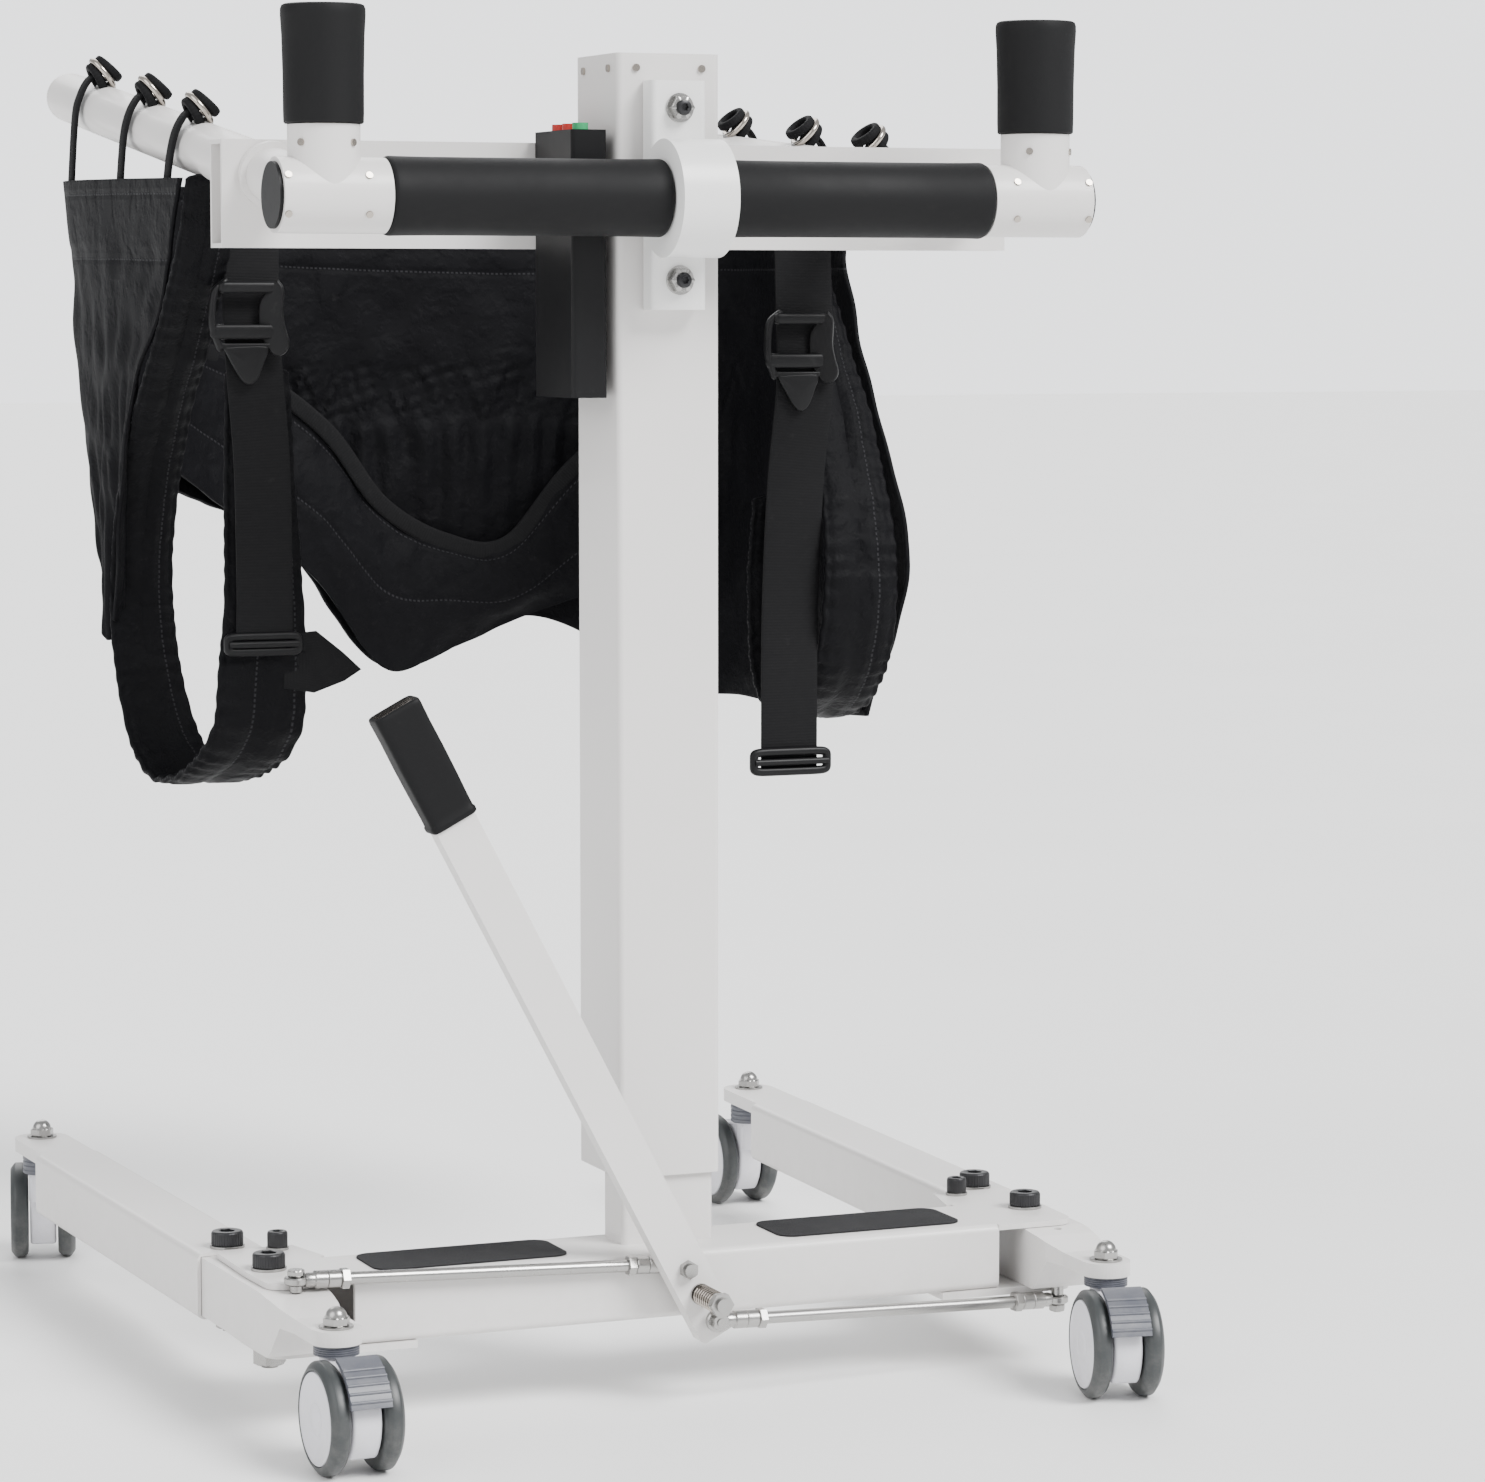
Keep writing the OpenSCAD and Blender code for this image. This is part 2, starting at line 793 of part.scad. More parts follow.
module leg_tube(side) {
  tube_end = far_stem - swing_radius;
  middle = (leg_top + leg_bottom) / 2;
  color(coat)
    on_leg(side)
      difference() {
        union() {
          translate([0, leg_start, middle]) rotate([-90, 0, 0]) linear_extrude(tube_end - leg_start)
            rounded_square(leg_w, leg_top - leg_bottom, 5);
          translate([-leg_w / 2 + 5, tube_end - 60, far_flange_bottom])
            cube([leg_w - 10, far_stem - tube_end + 60, 10]);
          translate([0, far_stem, 0]) upright(leg_w / 2 - 5, far_flange_bottom, leg_top);
        }
        translate([0, leg_start - 1, middle]) rotate([-90, 0, 0]) linear_extrude(tube_end - leg_start - 8)
          rounded_square(leg_w - 2 * steel_wall, leg_top - leg_bottom - 2 * steel_wall, 0.6);
        translate([0, leg_bolt_y, 0]) upright(4 + run_gap, 0, 200);
        translate([0, far_stem, 0]) upright(stem_r + run_gap, 0, 200);
      }
}

module acorn_nut(seat) {
  upright(9.5, seat, seat + 1.5);
  hex_nut(8.5, seat + 1.4, seat + 8);
  translate([0, 0, seat + 7]) difference() {
    sphere(7);
    translate([-10, -10, -20]) cube([20, 20, 20]);
  }
}

module leg_bolts(side) {
  color(steel)
    on_leg(side) {
      translate([0, leg_bolt_y, 0]) cap_bolt(4, 11, 10, leg_top, leg_bottom, 9);
      translate([0, near_stem, 0]) acorn_nut(near_flange_top);
      translate([0, far_stem, 0]) acorn_nut(leg_top);
      translate([0, rod_stud_y, 0])
        if (side < 0) {
          upright(rod_stud_r, arm_top - 20, left_eye_z + 6);
          upright(4.5, arm_top, left_eye_z - eye_slack);
          hex_nut(6, left_eye_z + eye_slack, left_eye_z + eye_slack + 4);
        }
        else {
          upright(rod_stud_r, right_eye_z - 9, arm_bottom + 20);
          hex_nut(6, right_eye_z - eye_slack - 5, right_eye_z - eye_slack);
          upright(4.5, right_eye_z + eye_slack, arm_bottom);
        }
    }
}

// --- Castors: stem on the origin, wheels trailing towards -Y ---

module castor_fork(n) {
  rear = n >= REAR_LEFT;
  flange = rear ? far_flange_bottom : near_flange_bottom;
  color(coat)
    on_castor(n)
      difference() {
        union() {
          translate([0, -trail, wheel_r]) along_x(wheel_r - 5, -fork_w / 2, fork_w / 2, $fn = 64);
          translate([-fork_w / 2, -trail, wheel_r]) cube([fork_w, trail, fork_top - wheel_r - 4]);
          upright(fork_w / 2, wheel_r - 5, fork_top);
          upright(13.5, fork_top - 0.1, flange - 0.3);
          upright(stem_r, fork_top, flange + 9.6);
        }
        translate([-50, -100, -1]) cube([100, 200, 14]);
        translate([0, -trail, wheel_r]) along_x(4.05, -50, 50);
      }
}

module castor_wheels(n) {
  color(slate)
    on_castor(n)
      translate([0, -trail, wheel_r]) {
        for (side = [-1, 1])
          mirror([side < 0 ? 1 : 0, 0, 0])
            translate([fork_w / 2 + wheel_gap, 0, 0]) rotate([0, 90, 0])
              rotate_extrude($fn = 96)
                polygon([
                  [0, 0], [wheel_r - 3, 0], [wheel_r - 1, 1], [wheel_r, 3.5], [wheel_r, tyre_w - 4],
                  [wheel_r - 1.5, tyre_w - 1.5], [wheel_r - 4, tyre_w], [0, tyre_w]
                ]);
        along_x(4, -fork_w / 2 - 1, fork_w / 2 + 1);
      }
}

// Side view of a ring's stretch above the front of the wheels, between two angles above the floor's line
module rim_sector(inner, outer, from, to) {
  intersection() {
    difference() {
      circle(outer, $fn = 96);
      circle(inner, $fn = 96);
    }
    polygon([
      [0, 0], [-80 * cos(from), 80 * sin(from)], [-80 * cos((from + to) / 2), 80 * sin((from + to) / 2)],
      [-80 * cos(to), 80 * sin(to)]
    ]);
  }
}

// Brake pedal: a ribbed plate over the front of the wheels, carried on a rib along the fork's rim
module brake_pedal(n) {
  plate_in = wheel_r + 2;
  plate_out = wheel_r + 5;
  color(slate)
    on_castor(n)
      translate([0, -trail, wheel_r]) rotate([90, 0, 90]) {
        translate([0, 0, -14]) linear_extrude(28) {
          rim_sector(plate_in, plate_out, 18, 76);
          for (a = [24:8:56])
            rotate(-a) translate([-plate_out, 0]) circle(1.1, $fn = 24);
        }
        translate([0, 0, -8]) linear_extrude(16) rim_sector(wheel_r - 4, plate_in + 1, 40, 76);
      }
}

placed() base_beam();
placed() end_plates();
placed() mast_post();
placed() post_glides();
placed() foot_grips();
placed() actuator_rod();
placed() base_bolts();
placed() translate([0, 0, lever_z]) lever_pivot();
placed() translate([0, 0, lever_z]) lever_spring();
placed() mast_sleeve();
placed() mast_cap();
placed() cap_screws();
placed() actuator_tube();
placed() actuator_motor();
placed() saddle_clamp();
placed() clamp_bolts();
placed() hand_bar_tube();
placed() hand_bar_foam();
placed() corner_fittings();
placed() fitting_screws();
placed() bar_end_caps();
placed() grip_tubes();
placed() grip_foam();
placed() cross_beam();
placed() sling_arm(-1);  // sling_arm_left
placed() sling_arm(1);  // sling_arm_right
placed() sling_hooks();
placed() control_box();
placed() push_button(0, "green");  // up_button
placed() push_button(1, "red");  // down_button
placed() push_button(2, "red");  // stop_button
placed() sling_back();
placed() sling_wing_left();
placed() sling_wing_right();
placed() thigh_strap_left();
placed() thigh_strap_right();
placed() webbing_straps();
placed() strap_buckles();
placed() lever_bar();
placed() lever_grip();
placed() lever_studs();
placed() tie_rod_left();
placed() tie_rod_right();
placed() leg_arm(-1);  // leg_arm_left
placed() leg_tube(-1);  // leg_tube_left
placed() leg_bolts(-1);  // leg_bolts_left
placed() leg_arm(1);  // leg_arm_right
placed() leg_tube(1);  // leg_tube_right
placed() leg_bolts(1);  // leg_bolts_right
placed() castor_fork(FRONT_LEFT);  // castor_front_left
placed() castor_fork(FRONT_RIGHT);  // castor_front_right
placed() castor_fork(REAR_LEFT);  // castor_rear_left
placed() castor_fork(REAR_RIGHT);  // castor_rear_right
placed() castor_wheels(FRONT_LEFT);  // wheels_front_left
placed() castor_wheels(FRONT_RIGHT);  // wheels_front_right
placed() castor_wheels(REAR_LEFT);  // wheels_rear_left
placed() castor_wheels(REAR_RIGHT);  // wheels_rear_right
placed() brake_pedal(FRONT_LEFT);  // brake_pedal_left
placed() brake_pedal(FRONT_RIGHT);  // brake_pedal_right
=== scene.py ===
import json
import math

import bmesh
import bpy
import numpy as np
from mathutils import Matrix, Vector


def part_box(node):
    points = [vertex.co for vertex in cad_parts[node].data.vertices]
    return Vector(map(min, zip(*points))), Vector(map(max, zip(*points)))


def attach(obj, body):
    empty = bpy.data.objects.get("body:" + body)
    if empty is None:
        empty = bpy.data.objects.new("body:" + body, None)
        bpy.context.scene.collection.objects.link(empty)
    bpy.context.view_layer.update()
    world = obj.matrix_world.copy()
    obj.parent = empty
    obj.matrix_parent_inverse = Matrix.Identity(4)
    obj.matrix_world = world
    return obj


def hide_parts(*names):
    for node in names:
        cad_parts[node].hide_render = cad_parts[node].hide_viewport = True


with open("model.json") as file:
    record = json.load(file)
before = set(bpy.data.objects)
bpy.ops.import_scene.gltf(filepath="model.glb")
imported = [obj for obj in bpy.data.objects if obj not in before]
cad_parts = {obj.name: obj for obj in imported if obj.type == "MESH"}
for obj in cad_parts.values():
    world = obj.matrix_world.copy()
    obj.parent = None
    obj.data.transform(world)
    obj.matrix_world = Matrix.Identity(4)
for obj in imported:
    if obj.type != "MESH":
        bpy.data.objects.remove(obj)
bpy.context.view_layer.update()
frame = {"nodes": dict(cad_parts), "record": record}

# Sizes below are in millimetres, from the middle of the mast's front face on the floor.
MM = 0.001
MAST_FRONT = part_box("mast_sleeve")[0].y
TURN = 2 * math.pi
TO_X = Matrix.Rotation(math.pi / 2, 4, "Y")
TO_Y = Matrix.Rotation(-math.pi / 2, 4, "X")


def local(metres):
    """A corner of a CAD box in millimetres from the middle of the mast's front face."""
    return Vector((metres.x, metres.y - MAST_FRONT, metres.z)) / MM


def box(node):
    """Lowest corner, highest corner and middle of a CAD node, in millimetres."""
    low, high = (local(corner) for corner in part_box(node))
    return low, high, (low + high) / 2


# --- Surfaces: each is (points, faces, uv), with points as rows by columns ---


def surface(points, wrap=False):
    """Quads over a grid of points. The map gives each point's run along the rows and across them, in metres."""
    rows, columns = points.shape[:2]
    closed = np.concatenate([points, points[:, :1]], 1) if wrap else points
    across = np.linalg.norm(np.diff(closed, axis=1), axis=2).mean(0).cumsum()
    down = np.linalg.norm(np.diff(points, axis=0), axis=2).mean(1).cumsum()
    u, v = np.meshgrid(np.append(0, across), np.append(0, down))
    r, c = np.meshgrid(np.arange(rows - 1), np.arange(closed.shape[1] - 1), indexing="ij")
    corners = [(r, c), (r, c + 1), (r + 1, c + 1), (r + 1, c)]
    faces = np.stack([i * columns + j % columns for i, j in corners], -1).reshape(-1, 4)
    uv = np.stack([np.stack([u[i, j], v[i, j]], -1) for i, j in corners], 2).reshape(-1, 2) * MM
    return points.reshape(-1, 3), faces, uv


def moved(part, matrix):
    """The same surface carried by a matrix."""
    m = np.array(matrix)
    return part[0] @ m[:3, :3].T + m[:3, 3], part[1], part[2]


def at(x, y, z, turn=None):
    """A place in millimetres, with a turn made first."""
    return Matrix.Translation((x, y, z)) @ (turn or Matrix.Identity(4))


def lathe(rows, sides=48):
    """Surface of revolution about Z. Each row is height, radius, number of flats and depth of the ridges:
    a row with flats has the radius of a polygon of that many sides, and ridges add a cosine wave round it."""
    rows = np.array([(tuple(r) + (0, 0, 0))[:4] for r in rows], float)
    height, radius, flats, ridge = (rows[:, k, None] for k in range(4))
    angle = np.arange(sides)[None] * TURN / sides
    wedge = TURN / np.where(flats > 0, flats, 1)
    polygon = np.cos(wedge / 2) / np.cos(np.mod(angle, wedge) - wedge / 2)
    around = radius * np.where(flats > 0, polygon, 1) + ridge * np.cos(angle * sides / 4)
    points = np.stack([around * np.cos(angle), around * np.sin(angle), height + 0 * angle], -1)
    return surface(points, wrap=True)


def smooth_line(points, count):
    """A line through the points at even steps: each stretch is the cubic whose slopes at its two ends are
    half the step between the points on either side of them."""
    p = np.asarray(points, float)
    p = np.concatenate([[2 * p[0] - p[1]], p, [2 * p[-1] - p[-2]]])
    t = np.linspace(0, len(p) - 3, count)
    k = np.minimum(t.astype(int), len(p) - 4)
    f = (t - k).reshape((-1,) + (1,) * (p.ndim - 1))
    a, b, c, d = p[k], p[k + 1], p[k + 2], p[k + 3]
    return b + f / 2 * (c - a + f * (2 * a - 5 * b + 4 * c - d + f * (3 * (b - c) + d - a)))


def loop(width, depth, power=2.0, count=32):
    """Closed outline, a superellipse: each coordinate is the cosine or sine raised to 2 over the power."""
    angle = np.arange(count) * TURN / count
    wave = np.stack([np.cos(angle), np.sin(angle)], -1)
    return np.sign(wave) * np.abs(wave) ** (2 / power) * [width / 2, depth / 2]


def carried(path, outline, side, widths=None, closed=False, ends=True):
    """An outline carried along a path. Its first axis follows the side direction squared to the path, its
    second is their cross product, and widths scale the first axis. Open ends close in three shrinking steps."""
    path = np.asarray(path, float)
    ahead = np.roll(path, -1, 0) - np.roll(path, 1, 0) if closed else np.gradient(path, axis=0)
    ahead /= np.linalg.norm(ahead, axis=1)[:, None]
    side = np.broadcast_to(np.asarray(side, float), path.shape)
    side = side - (side * ahead).sum(1)[:, None] * ahead
    side /= np.linalg.norm(side, axis=1)[:, None]
    lift = np.cross(side, ahead)
    widths = np.ones(len(path)) if widths is None else np.asarray(widths, float)
    outline = np.broadcast_to(outline, (len(path),) + np.shape(outline)[-2:])
    points = (
        path[:, None]
        + side[:, None] * outline[..., :1] * widths[:, None, None]
        + lift[:, None] * outline[..., 1:]
    )
    if closed:
        points = np.concatenate([points, points[:1]])
    elif ends:
        thick = np.ptp(outline[0, :, 1]) / 2
        cap = [(0.45, 0.9), (0.85, 0.6), (1.0, 0.0)]
        first = [path[0] - ahead[0] * thick * o + (points[0] - path[0]) * s for o, s in cap[::-1]]
        last = [path[-1] + ahead[-1] * thick * o + (points[-1] - path[-1]) * s for o, s in cap]
        points = np.concatenate([first, points, last])
    return surface(points, wrap=True)


def slab(outline, thickness, edge=1.0, steps=4):
    """A flat shape in X and Y given thickness along Z, with its edge rounded over a quarter circle and its
    faces closed to the middle: each row is the outline drawn in towards its centre."""
    outline = np.asarray(outline, float)
    centre = outline.mean(0)
    reach = np.linalg.norm(outline - centre, axis=1).mean()
    angle = np.linspace(0, math.pi / 2, steps)
    inset = np.concatenate([[reach], edge * (1 - np.sin(angle)), edge * (1 - np.cos(angle)), [reach]])
    rise = np.concatenate([[0], edge * (1 - np.cos(angle)), thickness - edge * (1 - np.sin(angle)), [thickness]])
    points = centre + (outline - centre)[None] * (1 - inset / reach)[:, None, None]
    return surface(np.concatenate([points, np.broadcast_to(rise[:, None, None], points.shape[:2] + (1,))], -1), True)


def skin(rails, along, across):
    """Grid of points over several lines that run side by side, smooth along each line and from line to line."""
    lines = np.stack([smooth_line(rail, along) for rail in rails])
    return smooth_line(lines, across)


def ripple(u, v, seed, waves, low, high):
    """A sum of sine waves in seeded directions and phases, with lengths between low and high, from -1 to 1."""
    rng = np.random.default_rng(seed)
    heading, phase = rng.uniform(0, TURN, (2, waves))
    length = rng.uniform(low, high, waves)
    total = sum(
        np.sin((u * math.cos(h) + v * math.sin(h)) * TURN / l + p) for h, p, l in zip(heading, phase, length)
    )
    return total / waves**0.5 / 1.6


def pushed(points, amount):
    """A grid of points moved along its normals by an amount in millimetres."""
    normal = np.cross(np.gradient(points, axis=1), np.gradient(points, axis=0))
    normal /= np.maximum(np.linalg.norm(normal, axis=2), 1e-9)[..., None]
    return points + normal * amount[..., None]


def bump_up(value, low, high, soft):
    """1 between low and high, falling smoothly to 0 over the soft distance outside them."""
    return 1 / (1 + np.exp(-(value - low) / soft)) / (1 + np.exp((value - high) / soft))


# --- Shader groups and finishes ---


def add(tree, kind, values=None, **settings):
    """Adds a shader node with its settings; a value that is a socket becomes a link."""
    made = tree.nodes.new(kind)
    for key, value in settings.items():
        setattr(made, key, value)
    for key, value in (values or {}).items():
        if isinstance(value, bpy.types.NodeSocket):
            tree.links.new(value, made.inputs[key])
        else:
            made.inputs[key].default_value = value
    return made


def maths(tree, operation, a, b=0.0, clamp=False):
    return add(tree, "ShaderNodeMath", {0: a, 1: b}, operation=operation, use_clamp=clamp).outputs[0]


def spread(tree, value, low, high, to_low=0.0, to_high=1.0):
    """A value stretched from one range to another and held inside it."""
    values = {0: value, 1: low, 2: high, 3: to_low, 4: to_high}
    return add(tree, "ShaderNodeMapRange", values, interpolation_type="SMOOTHSTEP").outputs[0]


def noise(tree, place, scale, detail=4.0, rough=0.5):
    values = {"Vector": place, "Scale": scale, "Detail": detail, "Roughness": rough}
    return add(tree, "ShaderNodeTexNoise", values).outputs["Fac"]


def group(name, inputs, outputs):
    """An empty shader group with number inputs, each with its usual value, and number outputs."""
    tree = bpy.data.node_groups.new(name, "ShaderNodeTree")
    for key, value in inputs.items():
        socket = tree.interface.new_socket(key, in_out="INPUT", socket_type="NodeSocketFloat")
        socket.default_value = value
    for key in outputs:
        tree.interface.new_socket(key, in_out="OUTPUT", socket_type="NodeSocketFloat")
    return tree, add(tree, "NodeGroupInput").outputs, add(tree, "NodeGroupOutput")


def object_place(tree):
    return add(tree, "ShaderNodeTexCoord").outputs["Object"]


def make_grain():
    """Fine random surface: a height for bump, a slow patchiness, and rare scuffs."""
    inputs = {"Scale": 900, "Patch Scale": 9, "Scuffs": 0.5}
    tree, given, out = group("grain", inputs, ["Height", "Patches", "Scuffs"])
    place = object_place(tree)
    fine = noise(tree, place, given["Scale"], 3)
    patches = noise(tree, place, given["Patch Scale"], 6, 0.6)
    wild = noise(tree, place, maths(tree, "MULTIPLY", given["Patch Scale"], 7), 8, 0.7)
    scuffs = maths(tree, "MULTIPLY", spread(tree, wild, 0.6, 0.72), given["Scuffs"])
    for key, value in zip(("Height", "Patches", "Scuffs"), (fine, patches, scuffs)):
        tree.links.new(value, out.inputs[key])
    return tree


def make_floor_dust():
    """Dust that thins out with height above the floor, broken up by noise."""
    tree, given, out = group("floor_dust", {"Height": 0.12, "Amount": 0.4}, ["Mask"])
    place = object_place(tree)
    height = add(tree, "ShaderNodeSeparateXYZ", {0: place}).outputs[2]
    near = maths(tree, "SUBTRACT", 1, maths(tree, "DIVIDE", height, given["Height"]), clamp=True)
    specks = spread(tree, noise(tree, place, 60, 8, 0.75), 0.35, 0.75)
    mask = maths(tree, "MULTIPLY", maths(tree, "MULTIPLY", near, specks), given["Amount"], clamp=True)
    tree.links.new(mask, out.inputs["Mask"])
    return tree


def make_brushing():
    """Fine lines drawn out along one axis of the object, as turning or drawing leaves them."""
    tree, given, out = group("brushing", {"Scale": 400, "Stretch": 0.05}, ["Height"])
    stretch = add(tree, "ShaderNodeCombineXYZ", {0: given["Stretch"], 1: 1.0, 2: 1.0}).outputs[0]
    place = add(tree, "ShaderNodeVectorMath", {0: object_place(tree), 1: stretch}, operation="MULTIPLY").outputs[0]
    tree.links.new(noise(tree, place, given["Scale"], 5, 0.6), out.inputs["Height"])
    return tree


def make_weave():
    """Crossing threads on the piece's own map: over and under in squares, with ribs across when asked. Shade is the
    thread height made into a colour mask: painted shade between the threads and a painted highlight on their tops.
    """
    tree, given, out = group("weave", {"Threads": 1600, "Ribs": 0, "Rib Pitch": 0.0022}, ["Height", "Shade"])
    flat = add(tree, "ShaderNodeUVMap", uv_map="cloth").outputs[0]
    u, v, _ = add(tree, "ShaderNodeSeparateXYZ", {0: flat}).outputs
    turned = [maths(tree, "MULTIPLY", w, given["Threads"]) for w in (u, v)]
    waves = [maths(tree, "SINE", maths(tree, "MULTIPLY", w, TURN)) for w in turned]
    plain = maths(tree, "MULTIPLY", *waves)
    turns = maths(tree, "DIVIDE", v, given["Rib Pitch"])
    ribs = maths(tree, "ABSOLUTE", maths(tree, "SINE", maths(tree, "MULTIPLY", turns, math.pi)))
    height = maths(tree, "ADD", maths(tree, "MULTIPLY", plain, 0.35), maths(tree, "MULTIPLY", ribs, given["Ribs"]))
    tree.links.new(height, out.inputs["Height"])
    # Painted shade: the weave's low places come out darker and its raised threads lighter, as light would fall on
    # them.
    tree.links.new(spread(tree, height, -0.4, 1.0), out.inputs["Shade"])
    return tree


def make_stitches():
    """One row of stitches on the piece's own map: dashes along one axis, where the other is near the line."""
    tree, given, out = group(
        "stitches", {"Across": 0, "Along": 0, "Line": 0.01, "Pitch": 0.004, "Width": 0.0007}, ["Mask", "Pull"]
    )
    off = maths(tree, "ABSOLUTE", maths(tree, "SUBTRACT", given["Across"], given["Line"]))
    beat = maths(tree, "FRACT", maths(tree, "DIVIDE", given["Along"], given["Pitch"]))
    dash = maths(tree, "MULTIPLY", spread(tree, beat, 0.08, 0.2), spread(tree, beat, 0.78, 0.66))
    outer, inner = (maths(tree, "MULTIPLY", given["Width"], share) for share in (1.3, 0.6))
    thread = spread(tree, off, outer, inner)
    tree.links.new(maths(tree, "MULTIPLY", dash, thread), out.inputs["Mask"])
    tree.links.new(spread(tree, off, 0.005, 0.0), out.inputs["Pull"])
    return tree


GRAIN, FLOOR_DUST, BRUSHING = make_grain(), make_floor_dust(), make_brushing()
WEAVE, STITCHES = make_weave(), make_stitches()


def placed_group(tree, made, **values):
    named = {key.replace("_", " "): value for key, value in values.items()}
    return add(tree, "ShaderNodeGroup", named, node_tree=made).outputs


def mixed(tree, mask, a, b):
    """Colour a where the mask is 0 and colour b where it is 1."""
    made = add(tree, "ShaderNodeMix", {"Factor": mask}, data_type="RGBA")
    for key, value in ((6, a), (7, b)):
        if isinstance(value, bpy.types.NodeSocket):
            tree.links.new(value, made.inputs[key])
        else:
            made.inputs[key].default_value = (*value, 1)
    return made.outputs[2]


def bumped(tree, shader, height, distance, strength=1.0):
    normal = add(tree, "ShaderNodeBump", {"Height": height, "Distance": distance, "Strength": strength}).outputs[0]
    tree.links.new(normal, shader.inputs["Normal"])


def material(name, metallic=0.0, **values):
    made = bpy.data.materials.new(name)
    made.use_nodes = True
    shader = made.node_tree.nodes["Principled BSDF"]
    shader.inputs["Metallic"].default_value = metallic
    for key, value in values.items():
        shader.inputs[key.replace("_", " ")].default_value = value
    return made, made.node_tree, shader


def solid_finish(
    name, colour, rough, metallic=0.0, grain=900, depth=0.00004, tone=0.06, scuffs=0.4, scuff_colour=None,
    dust=0.3, dust_height=0.11, brushed=0.0, **values
):
    """Painted, moulded, rubber or metal surface: patchy tone, scuffs that are rougher, grain in the bump and
    dust low down."""
    made, tree, shader = material(name, metallic, **values)
    parts = placed_group(tree, GRAIN, Scale=grain, Scuffs=scuffs)
    dark, light = (tuple(c * (1 + s * tone) for c in colour) for s in (-1, 1))
    base = mixed(tree, parts["Patches"], dark, light)
    worn = scuff_colour or tuple(c * 0.8 + 0.03 for c in colour)
    base = mixed(tree, maths(tree, "MULTIPLY", parts["Scuffs"], 0.35), base, worn)
    settled = placed_group(tree, FLOOR_DUST, Height=dust_height, Amount=dust)["Mask"]
    base = mixed(tree, settled, base, (0.42, 0.40, 0.37))
    tree.links.new(base, shader.inputs["Base Color"])
    patchy = spread(tree, parts["Patches"], 0.25, 0.75, rough * 0.86, rough * 1.12)
    rougher = maths(tree, "ADD", patchy, maths(tree, "MULTIPLY", parts["Scuffs"], 0.12))
    rougher = maths(tree, "ADD", rougher, maths(tree, "MULTIPLY", settled, 0.3), clamp=True)
    tree.links.new(rougher, shader.inputs["Roughness"])
    height = parts["Height"]
    if brushed:
        height = maths(tree, "ADD", height, maths(tree, "MULTIPLY", placed_group(tree, BRUSHING)["Height"], brushed))
    bumped(tree, shader, height, depth)
    return made


def cloth_finish(name, colour, rough, threads, rib=0.0, lines=(), crease=0.0009, gloss=0.06):
    """Woven cloth: thread weave with painted shade and highlight in its colour, soft creases, dusty lint, and rows of
    stitches along the piece's map.
    A line is (axis it is measured on, distance in metres)."""
    made, tree, shader = material(name, Specular_IOR_Level=gloss)
    weave = placed_group(tree, WEAVE, Threads=threads, Ribs=rib)
    grain = placed_group(tree, GRAIN, Scale=2500, Patch_Scale=14, Scuffs=0.5)
    u, v, _ = add(
        tree, "ShaderNodeSeparateXYZ", {0: add(tree, "ShaderNodeUVMap", uv_map="cloth").outputs[0]}
    ).outputs
    # Painted shade and highlight of the weave: darker between the threads, lighter on their tops.
    base = mixed(tree, weave["Shade"], tuple(c * 0.75 for c in colour), tuple(c * 1.35 for c in colour))
    base = mixed(tree, maths(tree, "MULTIPLY", grain["Patches"], 0.35), base, tuple(c * 1.9 + 0.002 for c in colour))
    base = mixed(tree, maths(tree, "MULTIPLY", grain["Scuffs"], 0.25), base, (0.04, 0.039, 0.038))
    fold = noise(tree, object_place(tree), 26, 5, 0.55)
    ridge = maths(tree, "ABSOLUTE", maths(tree, "SUBTRACT", fold, 0.5))
    height = maths(tree, "MULTIPLY", spread(tree, ridge, 0.0, 0.14), crease)
    height = maths(tree, "ADD", height, maths(tree, "MULTIPLY", weave["Height"], 0.00009))
    for axis, line in lines:
        across, along = (v, u) if axis == "v" else (u, v)
        row = placed_group(tree, STITCHES, Across=across, Along=along, Line=line)
        base = mixed(tree, row["Mask"], base, tuple(c * 2.6 + 0.012 for c in colour))
        height = maths(tree, "SUBTRACT", height, maths(tree, "MULTIPLY", row["Pull"], 0.0007))
        height = maths(tree, "ADD", height, maths(tree, "MULTIPLY", row["Mask"], 0.0005))
    tree.links.new(base, shader.inputs["Base Color"])
    shade = maths(tree, "ADD", rough, maths(tree, "MULTIPLY", grain["Patches"], 0.12), clamp=True)
    tree.links.new(shade, shader.inputs["Roughness"])
    bumped(tree, shader, height, 1.0)
    return made


